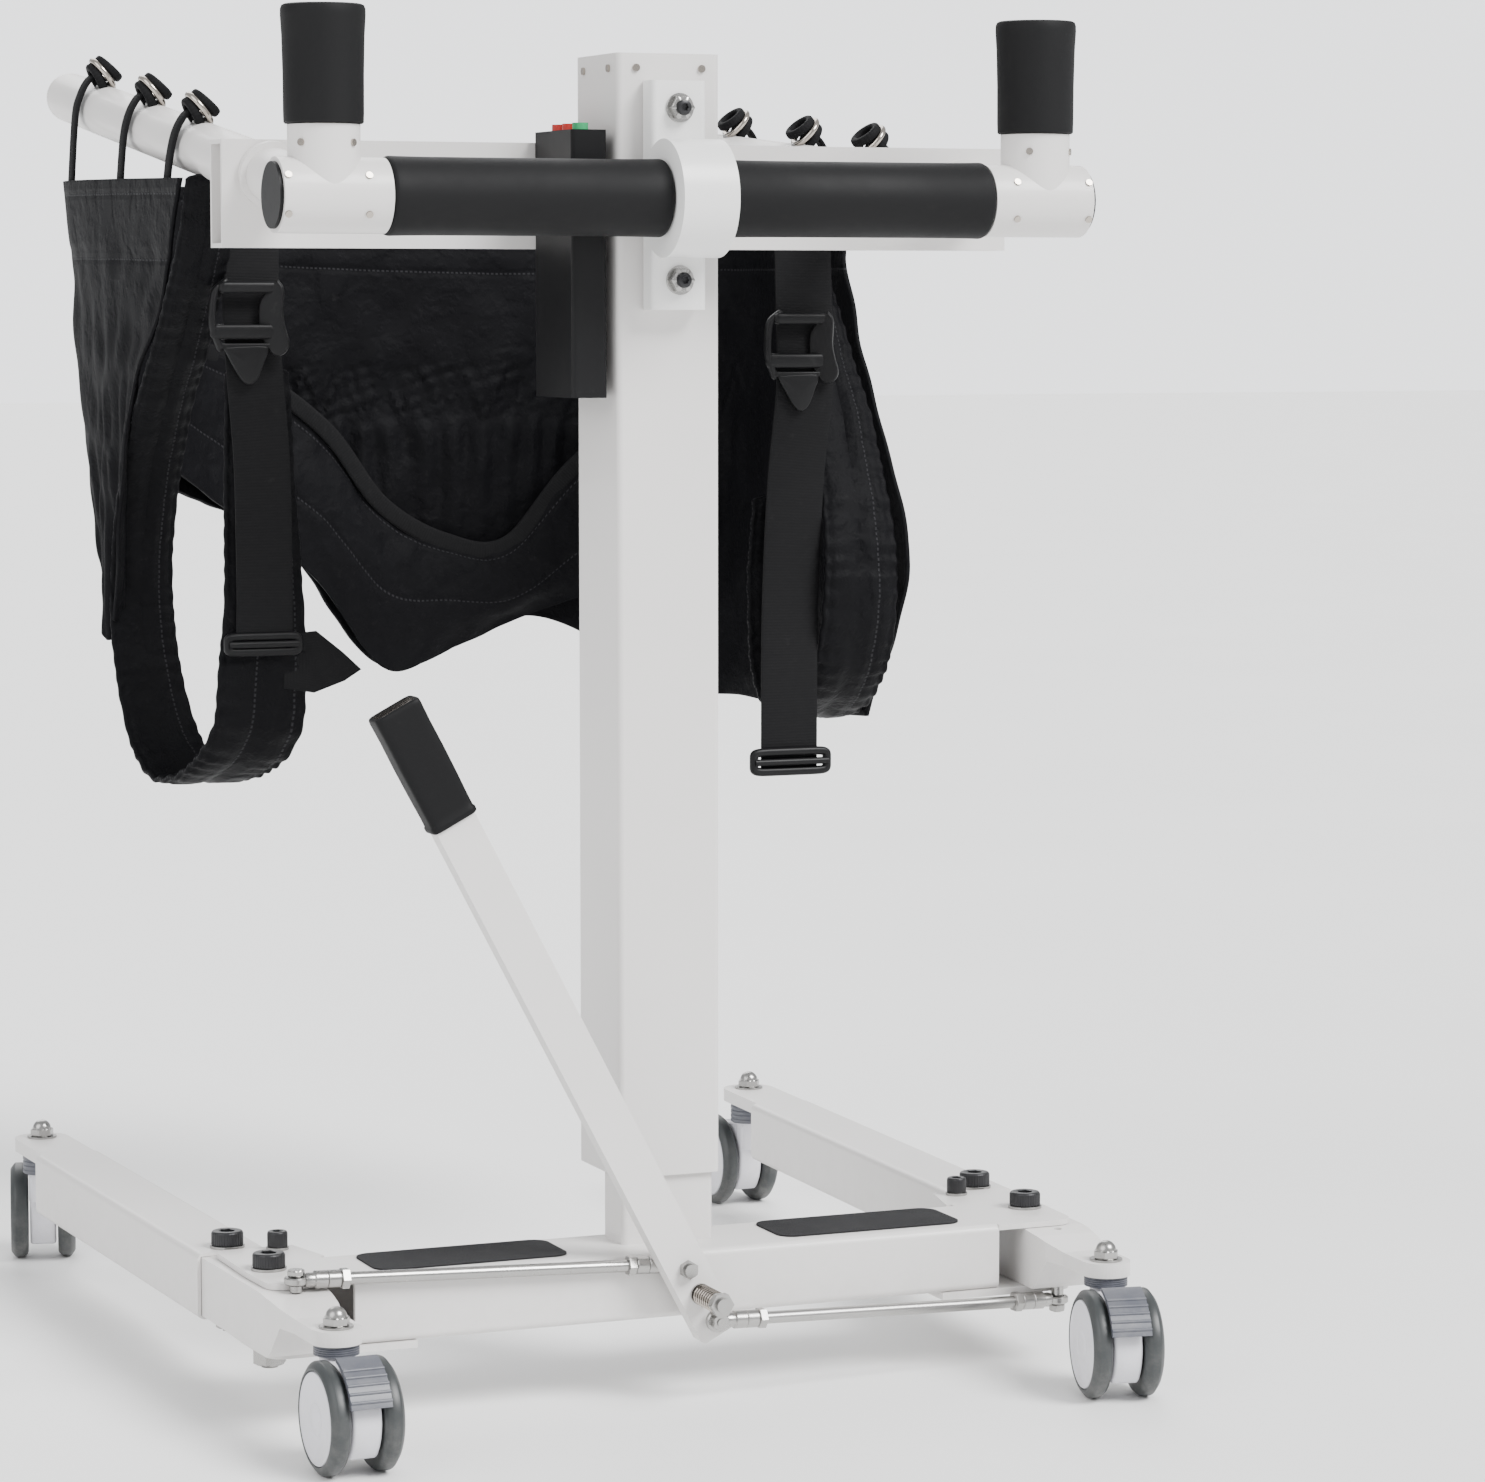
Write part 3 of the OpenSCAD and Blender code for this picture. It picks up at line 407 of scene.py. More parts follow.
FINISHES = {
    "coat": solid_finish("powder_coat", (0.70, 0.682, 0.668), 0.42, grain=1500, depth=0.00003, tone=0.02,
                         scuffs=0.3, scuff_colour=(0.62, 0.60, 0.57), dust=0.35, Coat_Weight=0.12),
    "moulded_white": solid_finish("moulded_nylon", (0.80, 0.80, 0.79), 0.34, grain=700, tone=0.015, scuffs=0.2),
    "foam": solid_finish("grip_foam_skin", (0.0055, 0.0055, 0.006), 0.62, grain=2600, depth=0.00012, tone=0.2,
                         scuffs=0.5, scuff_colour=(0.022, 0.021, 0.02), Specular_IOR_Level=0.18),
    "rubber_black": solid_finish("black_rubber", (0.0055, 0.0055, 0.006), 0.55, grain=1400, depth=0.00008, tone=0.15,
                                 scuffs=0.6, scuff_colour=(0.03, 0.029, 0.028), Specular_IOR_Level=0.14),
    "grit": solid_finish("grit_tape", (0.016, 0.016, 0.0175), 0.85, grain=1900, depth=0.0006, tone=0.3, scuffs=0.9,
                         scuff_colour=(0.08, 0.078, 0.075), dust=0.2, Specular_IOR_Level=0.25),
    "black_plastic": solid_finish("black_plastic", (0.006, 0.006, 0.0066), 0.42, grain=1700, depth=0.00005, tone=0.12,
                                  scuffs=0.5, scuff_colour=(0.035, 0.035, 0.035), Specular_IOR_Level=0.18),
    "steel_bright": solid_finish("bright_steel", (0.42, 0.38, 0.34), 0.22, metallic=1.0, depth=0.00002, tone=0.05,
                                 scuff_colour=(0.26, 0.24, 0.22), brushed=0.6),
    "steel_black": solid_finish("black_oxide", (0.028, 0.028, 0.03), 0.38, metallic=0.6, depth=0.00004, tone=0.2,
                                scuffs=0.8, scuff_colour=(0.2, 0.19, 0.18)),
    "nickel": solid_finish("nickel_plate", (0.44, 0.40, 0.355), 0.18, metallic=1.0, depth=0.00001, tone=0.04,
                           scuff_colour=(0.3, 0.27, 0.24)),
    "zinc": solid_finish("zinc_plate", (0.37, 0.365, 0.355), 0.27, metallic=1.0, depth=0.00003, tone=0.12,
                         scuffs=0.7, scuff_colour=(0.2, 0.195, 0.19)),
    "tyre_grey": solid_finish("tyre_rubber", (0.03, 0.034, 0.035), 0.42, grain=1200, depth=0.00005, tone=0.1,
                              scuffs=0.7, scuff_colour=(0.1, 0.098, 0.093), dust=0.22, dust_height=0.06),
    "castor_white": solid_finish("castor_plastic", (0.68, 0.675, 0.72), 0.3, grain=800, tone=0.03, scuffs=0.4,
                                 dust=0.35, dust_height=0.08),
    "pedal_slate": solid_finish("slate_plastic", (0.085, 0.09, 0.11), 0.36, grain=1200, tone=0.08, scuffs=0.6,
                                scuff_colour=(0.3, 0.3, 0.31), dust=0.3),
    "button_green": solid_finish("green_button", (0.02, 0.36, 0.13), 0.22, tone=0.05, scuffs=0.3),
    "button_red": solid_finish("red_button", (0.56, 0.03, 0.02), 0.22, tone=0.05, scuffs=0.3),
    "nylon_ivory": solid_finish("ivory_nylon", (0.74, 0.71, 0.6), 0.4, tone=0.04),
    "motor_grey": solid_finish("motor_paint", (0.2, 0.2, 0.21), 0.4, tone=0.08),
    "nylon_black": cloth_finish("sling_nylon", (0.0045, 0.0045, 0.0054), 0.52, 1500,
                                lines=[("v", 0.012), ("v", 0.062)]),
    "padding": cloth_finish("padded_nylon", (0.0042, 0.0042, 0.005), 0.46, 1500,
                            lines=[("u", 0.009), ("u", 0.033), ("u", 0.057), ("u", 0.099)]),
    "webbing_black": cloth_finish("webbing", (0.0055, 0.0055, 0.006), 0.62, 900, rib=0.8, crease=0.0001, gloss=0.1),
}


# --- Making pieces ---


def mesh_of(name, parts):
    """One mesh from several surfaces, with doubled points merged and the map kept as cloth."""
    sizes = np.cumsum([0] + [len(p[0]) for p in parts])
    points = np.concatenate([p[0] for p in parts]) * MM + [0, MAST_FRONT, 0]
    faces = np.concatenate([p[1] + start for p, start in zip(parts, sizes)])
    mesh = bpy.data.meshes.new(name)
    mesh.from_pydata(points, [], faces.tolist())
    mesh.uv_layers.new(name="cloth").data.foreach_set("uv", np.concatenate([p[2] for p in parts]).ravel())
    shape = bmesh.new()
    shape.from_mesh(mesh)
    bmesh.ops.remove_doubles(shape, verts=shape.verts, dist=0.00001)
    bmesh.ops.recalc_face_normals(shape, faces=shape.faces)
    shape.to_mesh(mesh)
    shape.free()
    return mesh


def piece(name, parts, slot, body="lift_head", stands_for=(), finish=None, thick=0.0):
    """A finished piece that rides on a body, in its slot's finish or another. A thickness makes a sheet solid."""
    made = bpy.data.objects.new(name, mesh_of(name, parts))
    bpy.context.scene.collection.objects.link(made)
    made.data.shade_smooth()
    made.data.set_sharp_from_angle(angle=math.radians(38))
    made.data.materials.append(FINISHES[finish or slot])
    if thick:
        wall = made.modifiers.new("thickness", "SOLIDIFY")
        wall.thickness, wall.offset = thick * MM, 0
    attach(made, body)
    if stands_for:
        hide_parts(*stands_for)
    return made


# --- Sling: one belt round the back, two padded thigh pieces, a seat piece, and their straps ---

# The belt's lines from its top edge down. Each runs from the left side's near edge, round the back, to
# the right side's near edge.
BELT_TOP = [
    (-286, 205, 843), (-287, 380, 846), (-284, 530, 848), (-250, 594, 848), (-120, 606, 845), (0, 608, 843),
    (120, 606, 843), (250, 598, 843), (285, 550, 843), (287, 460, 843), (286, 372, 842),
]
BELT_UPPER = [
    (-286, 278, 742), (-288, 390, 742), (-282, 520, 742), (-240, 584, 742), (-120, 604, 735), (0, 608, 725),
    (120, 606, 722), (250, 598, 724), (286, 545, 724), (290, 430, 724), (286, 324, 724),
]
BELT_LOWER = [
    (-286, 339, 680), (-288, 400, 670), (-284, 470, 664), (-250, 540, 676), (-115, 598, 640), (0, 606, 590),
    (120, 604, 590), (250, 596, 562), (286, 530, 560), (292, 390, 560), (288, 244, 560),
]
BELT_BOTTOM = [
    (-284, 403, 520), (-286, 418, 508), (-283, 444, 590), (-240, 512, 618), (-108, 588, 572), (-8, 602, 462),
    (118, 602, 500), (240, 590, 440), (282, 540, 434), (288, 430, 430), (284, 312, 436),
]


def belt_points():
    """The belt's grid: the four lines skinned, then pushed out by slow folds, a puffed band of quilting
    across the back, gathers that hang from it, and a thicker hem at the top."""
    grid = skin([BELT_TOP, BELT_UPPER, BELT_LOWER, BELT_BOTTOM], 420, 190)
    x, y, z = np.moveaxis(grid, 2, 0)
    run = np.linalg.norm(np.diff(grid[0], axis=0), axis=1).cumsum()
    run = np.broadcast_to(np.append(0, run), x.shape)
    back = bump_up(y, 560, 900, 10)
    quilt = bump_up(z, 659, 706, 2.5) * back
    zigzag = np.abs(np.mod(run / 34, 1) * 2 - 1) * 40 + 662
    quilted = quilt * (2.2 * np.minimum(1, np.abs(z - zigzag) / 7) + 1.4 * ripple(run, z, 5, 9, 9, 18))
    hang = bump_up(z, 0, 655, 4) * back
    wander = 1.5 * ripple(run, z * 0.2, 8, 5, 60, 140)
    gathers = hang * 3.2 * np.cos(run / 23 * TURN + wander) * np.exp((z - 655) / 60)
    folds = 5.0 * ripple(run, z * 0.35, 3, 9, 90, 260) + 1.6 * ripple(run, z, 4, 12, 28, 70)
    still = 1 - 0.8 * bump_up(z, 800, 900, 6)
    hem = 0.9 * bump_up(z, grid[0][:, 2][None] - 50, 900, 1.2)
    return pushed(grid, folds * still + quilted + gathers + hem)


belt = piece("sling_belt", [surface(belt_points())], "nylon_black", thick=3.0,
             stands_for=["sling_back", "sling_wing_left", "sling_wing_right"])

# Seat piece: hangs in front of the back's lower half, with a bound upper edge.
SEAT_EDGE = [(-246, 470, 742), (-205, 545, 728), (-135, 585, 706), (-62, 592, 655), (-14, 594, 594),
             (40, 594, 563), (92, 590, 560), (150, 586, 624), (246, 572, 700)]
SEAT_MIDDLE = [(-250, 470, 690), (-210, 530, 680), (-140, 572, 640), (-68, 582, 590), (-14, 584, 530),
               (40, 586, 520), (96, 584, 520), (160, 580, 565), (250, 566, 630)]
SEAT_BOTTOM = [(-252, 462, 640), (-214, 515, 630), (-146, 562, 588), (-72, 584, 535), (-14, 590, 462),
               (40, 592, 474), (108, 592, 500), (170, 584, 522), (250, 566, 560)]


def seat_points():
    """The seat piece's grid: three lines skinned, with long soft folds along it."""
    grid = skin([SEAT_EDGE, SEAT_MIDDLE, SEAT_BOTTOM], 220, 60)
    u, v = np.meshgrid(np.linspace(0, 560, 220), np.linspace(0, 110, 60))
    return pushed(grid, 3.0 * ripple(u * 0.3, v, 21, 7, 40, 110) + 1.0 * ripple(u, v, 22, 9, 20, 50))


seat = piece("sling_seat", [surface(seat_points())], "nylon_black", thick=2.4)
binding = piece(
    "seat_binding",
    [carried(smooth_line(SEAT_EDGE, 160) + [0, -1, 0], loop(14, 4, 3.5, 20), (0, 0, 1))],
    "webbing_black",
)


def padded_band(path, widths, thick, seed, steps=360):
    """A padded strip: a crowned cross-section carried along the path, puffed between a sewn line down its
    middle and short ruffles that gather towards both edges."""
    line = smooth_line(path, steps)
    wide = smooth_line(np.array(widths, float)[:, None], steps)[:, 0]
    outline = loop(1, thick, 3.2, 56)
    run = np.append(0, np.linalg.norm(np.diff(line, axis=0), axis=1).cumsum())[:, None]
    across = outline[None, :, 0] * 2
    ruffle = np.cos(run / 15 * TURN + 3 * ripple(run, across, seed, 5, 40, 90)) * 1.1 * np.abs(across) ** 1.5
    pinch = 1 - 0.55 * np.exp(-((across / 0.09) ** 2)) - 0.3 * np.exp(-(((np.abs(across) - 0.86) / 0.07) ** 2))
    height = outline[None, :, 1] * pinch + ruffle + 1.2 * ripple(run, across * 30, seed + 1, 6, 30, 80)
    width = outline[None, :, 0] * wide[:, None] + 0 * run
    return line, np.stack([width, height], -1)


# The thigh pieces' middle lines, from the belt's top edge round the loop and up again.
THIGH_LEFT = [
    (-263, 206, 842), (-263, 232, 794), (-263, 277, 742), (-264, 336, 680), (-264, 380, 622), (-264, 404, 557),
    (-262, 404, 498), (-256, 378, 436), (-246, 340, 408), (-232, 292, 416), (-220, 258, 446), (-217, 250, 490),
    (-215, 252, 540), (-214, 262, 620), (-214, 268, 705),
]
THIGH_RIGHT = [
    (262, 376, 806), (260, 328, 724), (257, 284, 655), (254, 248, 560), (254, 264, 482), (254, 322, 440),
    (254, 382, 452), (254, 404, 520), (254, 402, 600),
]
line, outline = padded_band(THIGH_LEFT, [40, 40, 42, 44, 46, 48, 50, 54, 60, 66, 68, 66, 60, 54, 48], 8, 31)
thigh_left = piece("thigh_piece_left", [carried(line, outline, (1, 0, 0))], "nylon_black",
                   stands_for=["thigh_strap_left"], finish="padding")
line, outline = padded_band(THIGH_RIGHT, [26, 38, 50, 60, 62, 62, 60, 56, 50], 9, 41)
thigh_right = piece("thigh_piece_right", [carried(line, outline, (1, 0, 0))], "nylon_black",
                    stands_for=["thigh_strap_right"], finish="padding")


def ribbon(path, width, thick, wave=0.0, seed=0, steps=200):
    """Flat webbing: a thin rounded strip carried along the path, with a slight wander."""
    line = smooth_line(path, steps)
    drift = np.linspace(0, 1, steps) * 400
    line = line + np.stack([0 * drift, wave * ripple(drift, 0 * drift, seed, 4, 120, 300), 0 * drift], -1)
    return carried(line, loop(width, thick, 6, 28), (1, 0, 0))


# Each strap: the points its middle passes through, and its width.
STRAPS = {
    "webbing_left": ([(-222, 256, 840), (-222, 254, 790), (-223, 249, 745), (-222, 244, 700), (-218, 243, 640),
                      (-217, 243, 560), (-218, 243, 510)], 42),
    "webbing_right": ([(214, 268, 818), (214, 266, 780), (213, 261, 735), (211, 257, 690), (204, 257, 620),
                       (200, 258, 520), (200, 260, 402)], 46),
}
FACING = Matrix(((1, 0, 0, 0), (0, 0, -1, 0), (0, 1, 0, 0), (0, 0, 0, 1)))
# Outline of the loose pointed end beside the left slide buckle, across and up.
TAIL = [(-202, 517), (-177, 519), (-157, 503), (-143, 490), (-156, 482), (-179, 474), (-202, 478)]
tail = moved(slab(TAIL, 2.6, 1), at(0, 249, 0, FACING))
webbing = {
    name: piece(name, [ribbon(path, width, 2.6, 1.2, 50 + k), *[tail][k:]], "webbing_black",
                stands_for=["webbing_straps"] if k == 0 else [])
    for k, (name, (path, width)) in enumerate(STRAPS.items())
}


# Outlines of the buckle's lever and thumb tab, across and up from the buckle's middle, and its bowed rail.
CRESCENT = [(4, 32), (8.5, 24), (8, 3), (10, -9), (13, -20), (12, -27), (6.5, -32), (0, -32), (-6.5, -25), (-11, -16),
            (-13, -5), (-12.5, 11), (-8.5, 20), (-1, 28), (4, 32)]
TAB = [(-23, -25), (-4, -24), (16, -25), (13, -38), (7, -52), (0, -57), (-7, -53), (-15, -40), (-23, -25)]
RAIL = [(-20, 0, 30), (-29, -1, 22), (-32, -3, 4), (-31, -3, -10), (-25, -1, -25)]


def cam_buckle(x, y, z):
    """A frame of three thick bars with a bowed rail on one side and a crescent lever on the other, and a
    pointed thumb tab below."""
    lever = slab(smooth_line(CRESCENT, 90)[:-1], 6, 2.2, 6)
    parts = [
        moved(lever, at(24, -2, 0, Matrix.Rotation(math.radians(-34), 4, "Z") @ FACING)),
        moved(slab(smooth_line(TAB, 90)[:-1], 4.5, 1.8), at(0, -2, 0, FACING)),
        carried(smooth_line(RAIL, 48), loop(6, 8, 2.6, 20), (1, 0, 0)),
    ]
    for height, deep, tall, left, right in ((25.5, 9, 10, -22, 24), (-12, 8, 13, -30, 22), (-24, 5, 5, -24, 18)):
        bar = np.array([(left, -3, height), ((left + right) / 2, -3.4, height), (right, -3, height)])
        parts.append(carried(smooth_line(bar, 24), loop(tall, deep, 3, 28), (0, 0, 1)))
    return [moved(p, at(x, y, z, Matrix.Scale(0.84, 4))) for p in parts]


def slide_buckle(x, y, z, width, height):
    """A rounded bar bent into a flat ring, with a middle bar."""
    path = loop(width, height, 8, 64)
    ring = np.stack([path[:, 0], 0 * path[:, 0], path[:, 1]], -1) + [x, y, z]
    bar = lathe([(-width / 2, 0), (-width / 2, 2.6), (width / 2, 2.6), (width / 2, 0)], 20)
    return [carried(ring, loop(6.5, 6.5, 2.4, 16), (0, 1, 0), closed=True), moved(bar, at(x, y - 2.4, z, TO_X))]


piece("cam_buckle_left", cam_buckle(-228, 242, 745), "black_plastic", stands_for=["strap_buckles"])
piece("cam_buckle_right", cam_buckle(206, 254, 722), "black_plastic")
piece("slide_buckle_left", slide_buckle(-219, 241, 511, 52, 11), "black_plastic")
piece("slide_buckle_right", slide_buckle(200, 256, 409, 60, 15), "black_plastic")

# --- Hooks on the sling arms ---

# Rise of each arm, the hand bar's place, and how far along the arms the hooks stand.
PITCH = {-1: math.radians(7.7), 1: math.radians(4.5)}
GRIP_X, BAR_Y, BAR_Z, TUBE_R = 258.5, -40, 826, 19
HOOK_RUN = [290, 416, 557]


def on_arm(side):
    """Matrix that carries a piece drawn along Y onto one sling arm."""
    return at(side * GRIP_X, BAR_Y, BAR_Z, Matrix.Rotation(PITCH[side], 4, "X"))


def circle_path(radius, count=48):
    angle = np.arange(count) * TURN / count
    return np.stack([radius * np.cos(angle), 0 * angle, radius * np.sin(angle)], -1)


# How far a ring leans outwards from upright.
RING_LEAN = math.radians(40)
rings, feet, loops = [], [], []
for side in (-1, 1):
    for run in HOOK_RUN:
        foot = on_arm(side) @ at(0, run, TUBE_R)
        lean = Matrix.Rotation(side * RING_LEAN, 4, "Y") @ Matrix.Rotation(math.pi / 2, 4, "Z")
        stand = foot @ at(side * 3, 0, 9.5, lean)
        rings.append(moved(carried(circle_path(12), loop(4.6, 4.6, 2, 20), (0, 1, 0), closed=True), stand))
        rows = [(-1, 0), (-1, 7.5), (0.6, 7.5), (1.2, 6.9), (1.4, 5), (3.4, 4.2), (3.8, 0)]
        feet.append(moved(lathe(rows, 32), foot))
        for shift, tilt in ((-5.6, -0.15), (5.8, 0.2)):
            strap = carried(circle_path(9.6), loop(6.5, 5.6, 3, 24), (0, 1, 0), closed=True)
            loops.append(moved(strap, stand @ at(0, shift, 0, Matrix.Rotation(tilt, 4, "X"))))
        drop = foot.translation.z - 834
        lug = smooth_line([(side * 6, 2, 8), (side * 14, 0, 4), (side * 20.5, -1, -8), (side * 24, -1, -26),
                           (side * 26, -1, -drop)], 60)
        loops.append(moved(carried(lug, loop(14, 3.4, 3, 24), (0, 1, 0)), foot))
piece("hook_rings", rings, "nickel", stands_for=["sling_hooks"])
piece("hook_feet", feet, "zinc")
piece("hook_loops", loops, "webbing_black")

# --- Foam ---


def foam_rows(start, end, radius, flare):
    """A foam sleeve's profile: rounded ends, a slight swell towards each end, closed on the axis."""
    t = np.linspace(0, 1, 40)
    swell = flare * (np.exp(-t * 14) + np.exp((t - 1) * 14))
    body = np.stack([start + 3 + (end - start - 6) * t, radius + swell], -1)
    turn = np.linspace(0, math.pi / 2, 6)
    near = np.stack([start + 3 - 3 * np.cos(turn), radius + flare - 3 + 3 * np.sin(turn)], -1)[:-1]
    far = np.stack([end - 3 + 3 * np.sin(turn), radius + flare - 3 + 3 * np.cos(turn)], -1)[1:]
    return [(start, 0), *near, *body, *far, (end, 0)]


foam = [
    moved(lathe(foam_rows(side * 119 - 98.5, side * 119 + 98.5, 25.8, 0.5), 96), at(0, BAR_Y, BAR_Z, TO_X))
    for side in (-1, 1)
]
piece("hand_bar_sleeves", foam, "foam", stands_for=["hand_bar_foam"])
grip_rows = [(872.5, 0), (872.5, 25.4), (873.4, 26.3), (880, 26.5), (905, 26.6), (930, 27.2), (943, 28), (947, 27.9),
             (949.2, 27), (950, 25.4), (949.6, 23.5), (948.4, 22), (947.8, 14), (947.6, 0)]
piece("grip_sleeves", [moved(lathe(grip_rows, 96), at(side * GRIP_X, BAR_Y, 0)) for side in (-1, 1)], "foam",
      stands_for=["grip_foam"])

# --- Castors ---

# Places of the castors' stems along a leg, heights of the flanges above them, and how far each castor is turned.
TRAIL, WHEEL_R = 28, 37.5
HINGE_X, HINGE_Y, SPLAY = 285, 21, math.radians(1.7)
STEMS = {"front": -138, "rear": 562}
FLANGE = {"front": 80, "rear": 90.4}
CASTOR_TURN = {"front_left": 2, "front_right": -11, "rear_left": 166, "rear_right": -178}
LEG_BOLT_Y, LEG_STUD_Y = 91, -57


def on_leg(side):
    """Matrix that carries a piece drawn for a leg, hinge at the origin and the leg along Y, into place."""
    return at(side * HINGE_X, HINGE_Y, 0, Matrix.Rotation(-side * SPLAY, 4, "Z"))


# Profiles along the axle, from the castor's middle outwards: distance along it and radius.
TYRE = [(11.4, 24.5), (11.6, 33), (12.4, 34.8), (15, 37.1), (16, 37.5), (21, 37.5), (22, 37.1), (24.7, 33.6),
        (25.3, 32.3), (25.2, 31.5), (24.6, 31.1), (22.5, 30.9), (22.3, 24.5), (11.4, 24.5)]
DISC = [(11.8, 0), (11.8, 24.4), (22.4, 24.6), (22.7, 30.6), (24.5, 30.7), (25.1, 30.3), (25.3, 29.5), (24.8, 28.7),
        (24.6, 27.8), (24.7, 15), (24.9, 11.4), (24.6, 10.6), (24.9, 9.8), (25.1, 4), (25.1, 0)]


def housing_outline(count=72):
    """Side view of the housing: a round body about the axle that blends into an upright neck round the stem."""
    angle = np.arange(count) * TURN / count
    reach = WHEEL_R - 5.5 + 0 * angle
    y, z = reach * np.cos(angle), reach * np.sin(angle)
    neck = bump_up(angle, math.radians(2), math.radians(84), 0.06)
    y = y + neck * 5
    z = z + neck * (34 - z) * bump_up(y, 12, 60, 3)
    return np.stack([y, np.maximum(z, -24)], -1)


HOUSING_W = 20.4
COLLAR_LOW, COLLAR_RINGS = 72.4, 5
RING_SHAPE = [(0.2, 15.2), (0.75, 15.2), (0.95, 14.6)]


def castor_pieces(name):
    """One castor: housing with a rounded edge, ringed collar, two tyres and two dished discs."""
    end, hand = name.split("_")
    side = -1 if hand == "left" else 1
    stand = on_leg(side) @ at(0, STEMS[end], 0)
    here = at(*stand.translation, Matrix.Rotation(math.radians(CASTOR_TURN[name]), 4, "Z"))
    axle = here @ at(0, -TRAIL, WHEEL_R)
    upright = Matrix(((0, 0, 1, 0), (1, 0, 0, 0), (0, 1, 0, 0), (0, 0, 0, 1)))
    shell = moved(slab(housing_outline(), HOUSING_W, 2.6, 6), axle @ at(-HOUSING_W / 2, 0, 0, upright))
    top = FLANGE[end] - 0.3
    boss = moved(lathe([(50, 0), (50, 10.6), (69, 10.6), (71, 11.4), (72.2, 11.4), (72.2, 0)], 40), here)
    piece(f"housing_{name}", [shell, boss], "castor_white", f"castor_{name}", [f"castor_{name}"])
    step = (top - COLLAR_LOW) / COLLAR_RINGS
    rings = [(COLLAR_LOW, 0), (COLLAR_LOW, 14.4)]
    for k in range(COLLAR_RINGS):
        rings += [(COLLAR_LOW + step * (k + share), radius) for share, radius in RING_SHAPE]
    rings += [(top, 14.2), (top, 0)]
    piece(f"collar_{name}", [moved(lathe(rings, 48), here)], "pedal_slate", f"castor_{name}")
    wheels = f"wheels_{name}"
    hands = [Matrix.Identity(4), Matrix.Rotation(math.pi, 4, "Z")]
    piece(f"tyres_{name}", [moved(lathe(TYRE, 96), axle @ h @ TO_X) for h in hands], "tyre_grey", wheels, [wheels])
    piece(f"discs_{name}", [moved(lathe(DISC, 96), axle @ h @ TO_X) for h in hands], "castor_white", wheels)


for castor in CASTOR_TURN:
    castor_pieces(castor)


# --- Bolts ---


def knurled_head(seat, radius, height):
    """Socket cap head: ridged wall, rounded rim and a hexagonal socket."""
    top = seat + height
    ridge = radius * 0.018
    return lathe(
        [(seat, 0), (seat, radius * 0.94), (seat + 0.6, radius, 0, ridge), (top - 1.8, radius, 0, ridge),
         (top - 1, radius * 0.985), (top - 0.3, radius * 0.93), (top, radius * 0.84), (top, radius * 0.56),
         (top - 0.4, radius * 0.52, 6), (top - 5, radius * 0.52, 6), (top - 5.2, 0)], 144
    )


def hex_body(low, radius, height):
    """Hexagonal nut with its corners chamfered top and bottom."""
    high = low + height
    return lathe([(low, 0), (low, radius * 0.84), (low + 0.7, radius * 0.98, 6), (low + 0.8, radius, 6),
                  (high - 0.8, radius, 6), (high - 0.7, radius * 0.98, 6), (high, radius * 0.84), (high, 0)], 48)


def washer(low, radius, height):
    return lathe([(low, 0), (low, radius - 0.3), (low + 0.3, radius), (low + height - 0.3, radius),
                  (low + height, radius - 0.3), (low + height, 0)], 48)


def thread(low, high, radius):
    """Screw shank with thread rings 1.25 apart."""
    count = max(2, int((high - low) / 1.25))
    z = np.linspace(low, high, 2 * count + 1)
    return lathe([(low, 0), *[(h, radius - 0.35 * (k % 2)) for k, h in enumerate(z)], (high, 0)], 28)


beam_low, beam_high, _ = box("base_beam")
STOP_X, STOP_Y = 259.8, 84
HEADS, SILVER = [], []
for side in (-1, 1):
    hinge = at(side * HINGE_X, HINGE_Y, 0)
    HEADS.append(moved(knurled_head(beam_high.z + 2, 11, 10), hinge))
    SILVER += [moved(p, hinge) for p in (
        washer(beam_high.z, 12.2, 2), washer(beam_low.z - 7.2, 12.4, 2.2), hex_body(beam_low.z - 19, 11.6, 11.8),
        thread(beam_low.z - 21, beam_low.z - 6, 5.8))]
    stop = at(side * STOP_X, STOP_Y, 0)
    HEADS.append(moved(knurled_head(beam_high.z + 2, 7, 11), stop))
    SILVER += [moved(washer(beam_high.z, 8, 2), stop), moved(thread(beam_low.z - 7, beam_low.z - 4, 3.4), stop)]
piece("base_bolt_heads", HEADS, "steel_black", "base", ["base_bolts"])
piece("base_bolt_nuts", SILVER, "zinc", "base")


def acorn(seat):
    """Hexagonal nut with a domed end on a washer."""
    dome = np.linspace(0, math.pi / 2, 10)
    cap = [(seat + 7 + 7 * math.sin(a), 7.2 * math.cos(a)) for a in dome]
    return [washer(seat, 11.5, 1.5), hex_body(seat + 1.4, 9.2, 6), lathe([(seat + 6, 0), (seat + 6, 7.2), *cap], 40)]


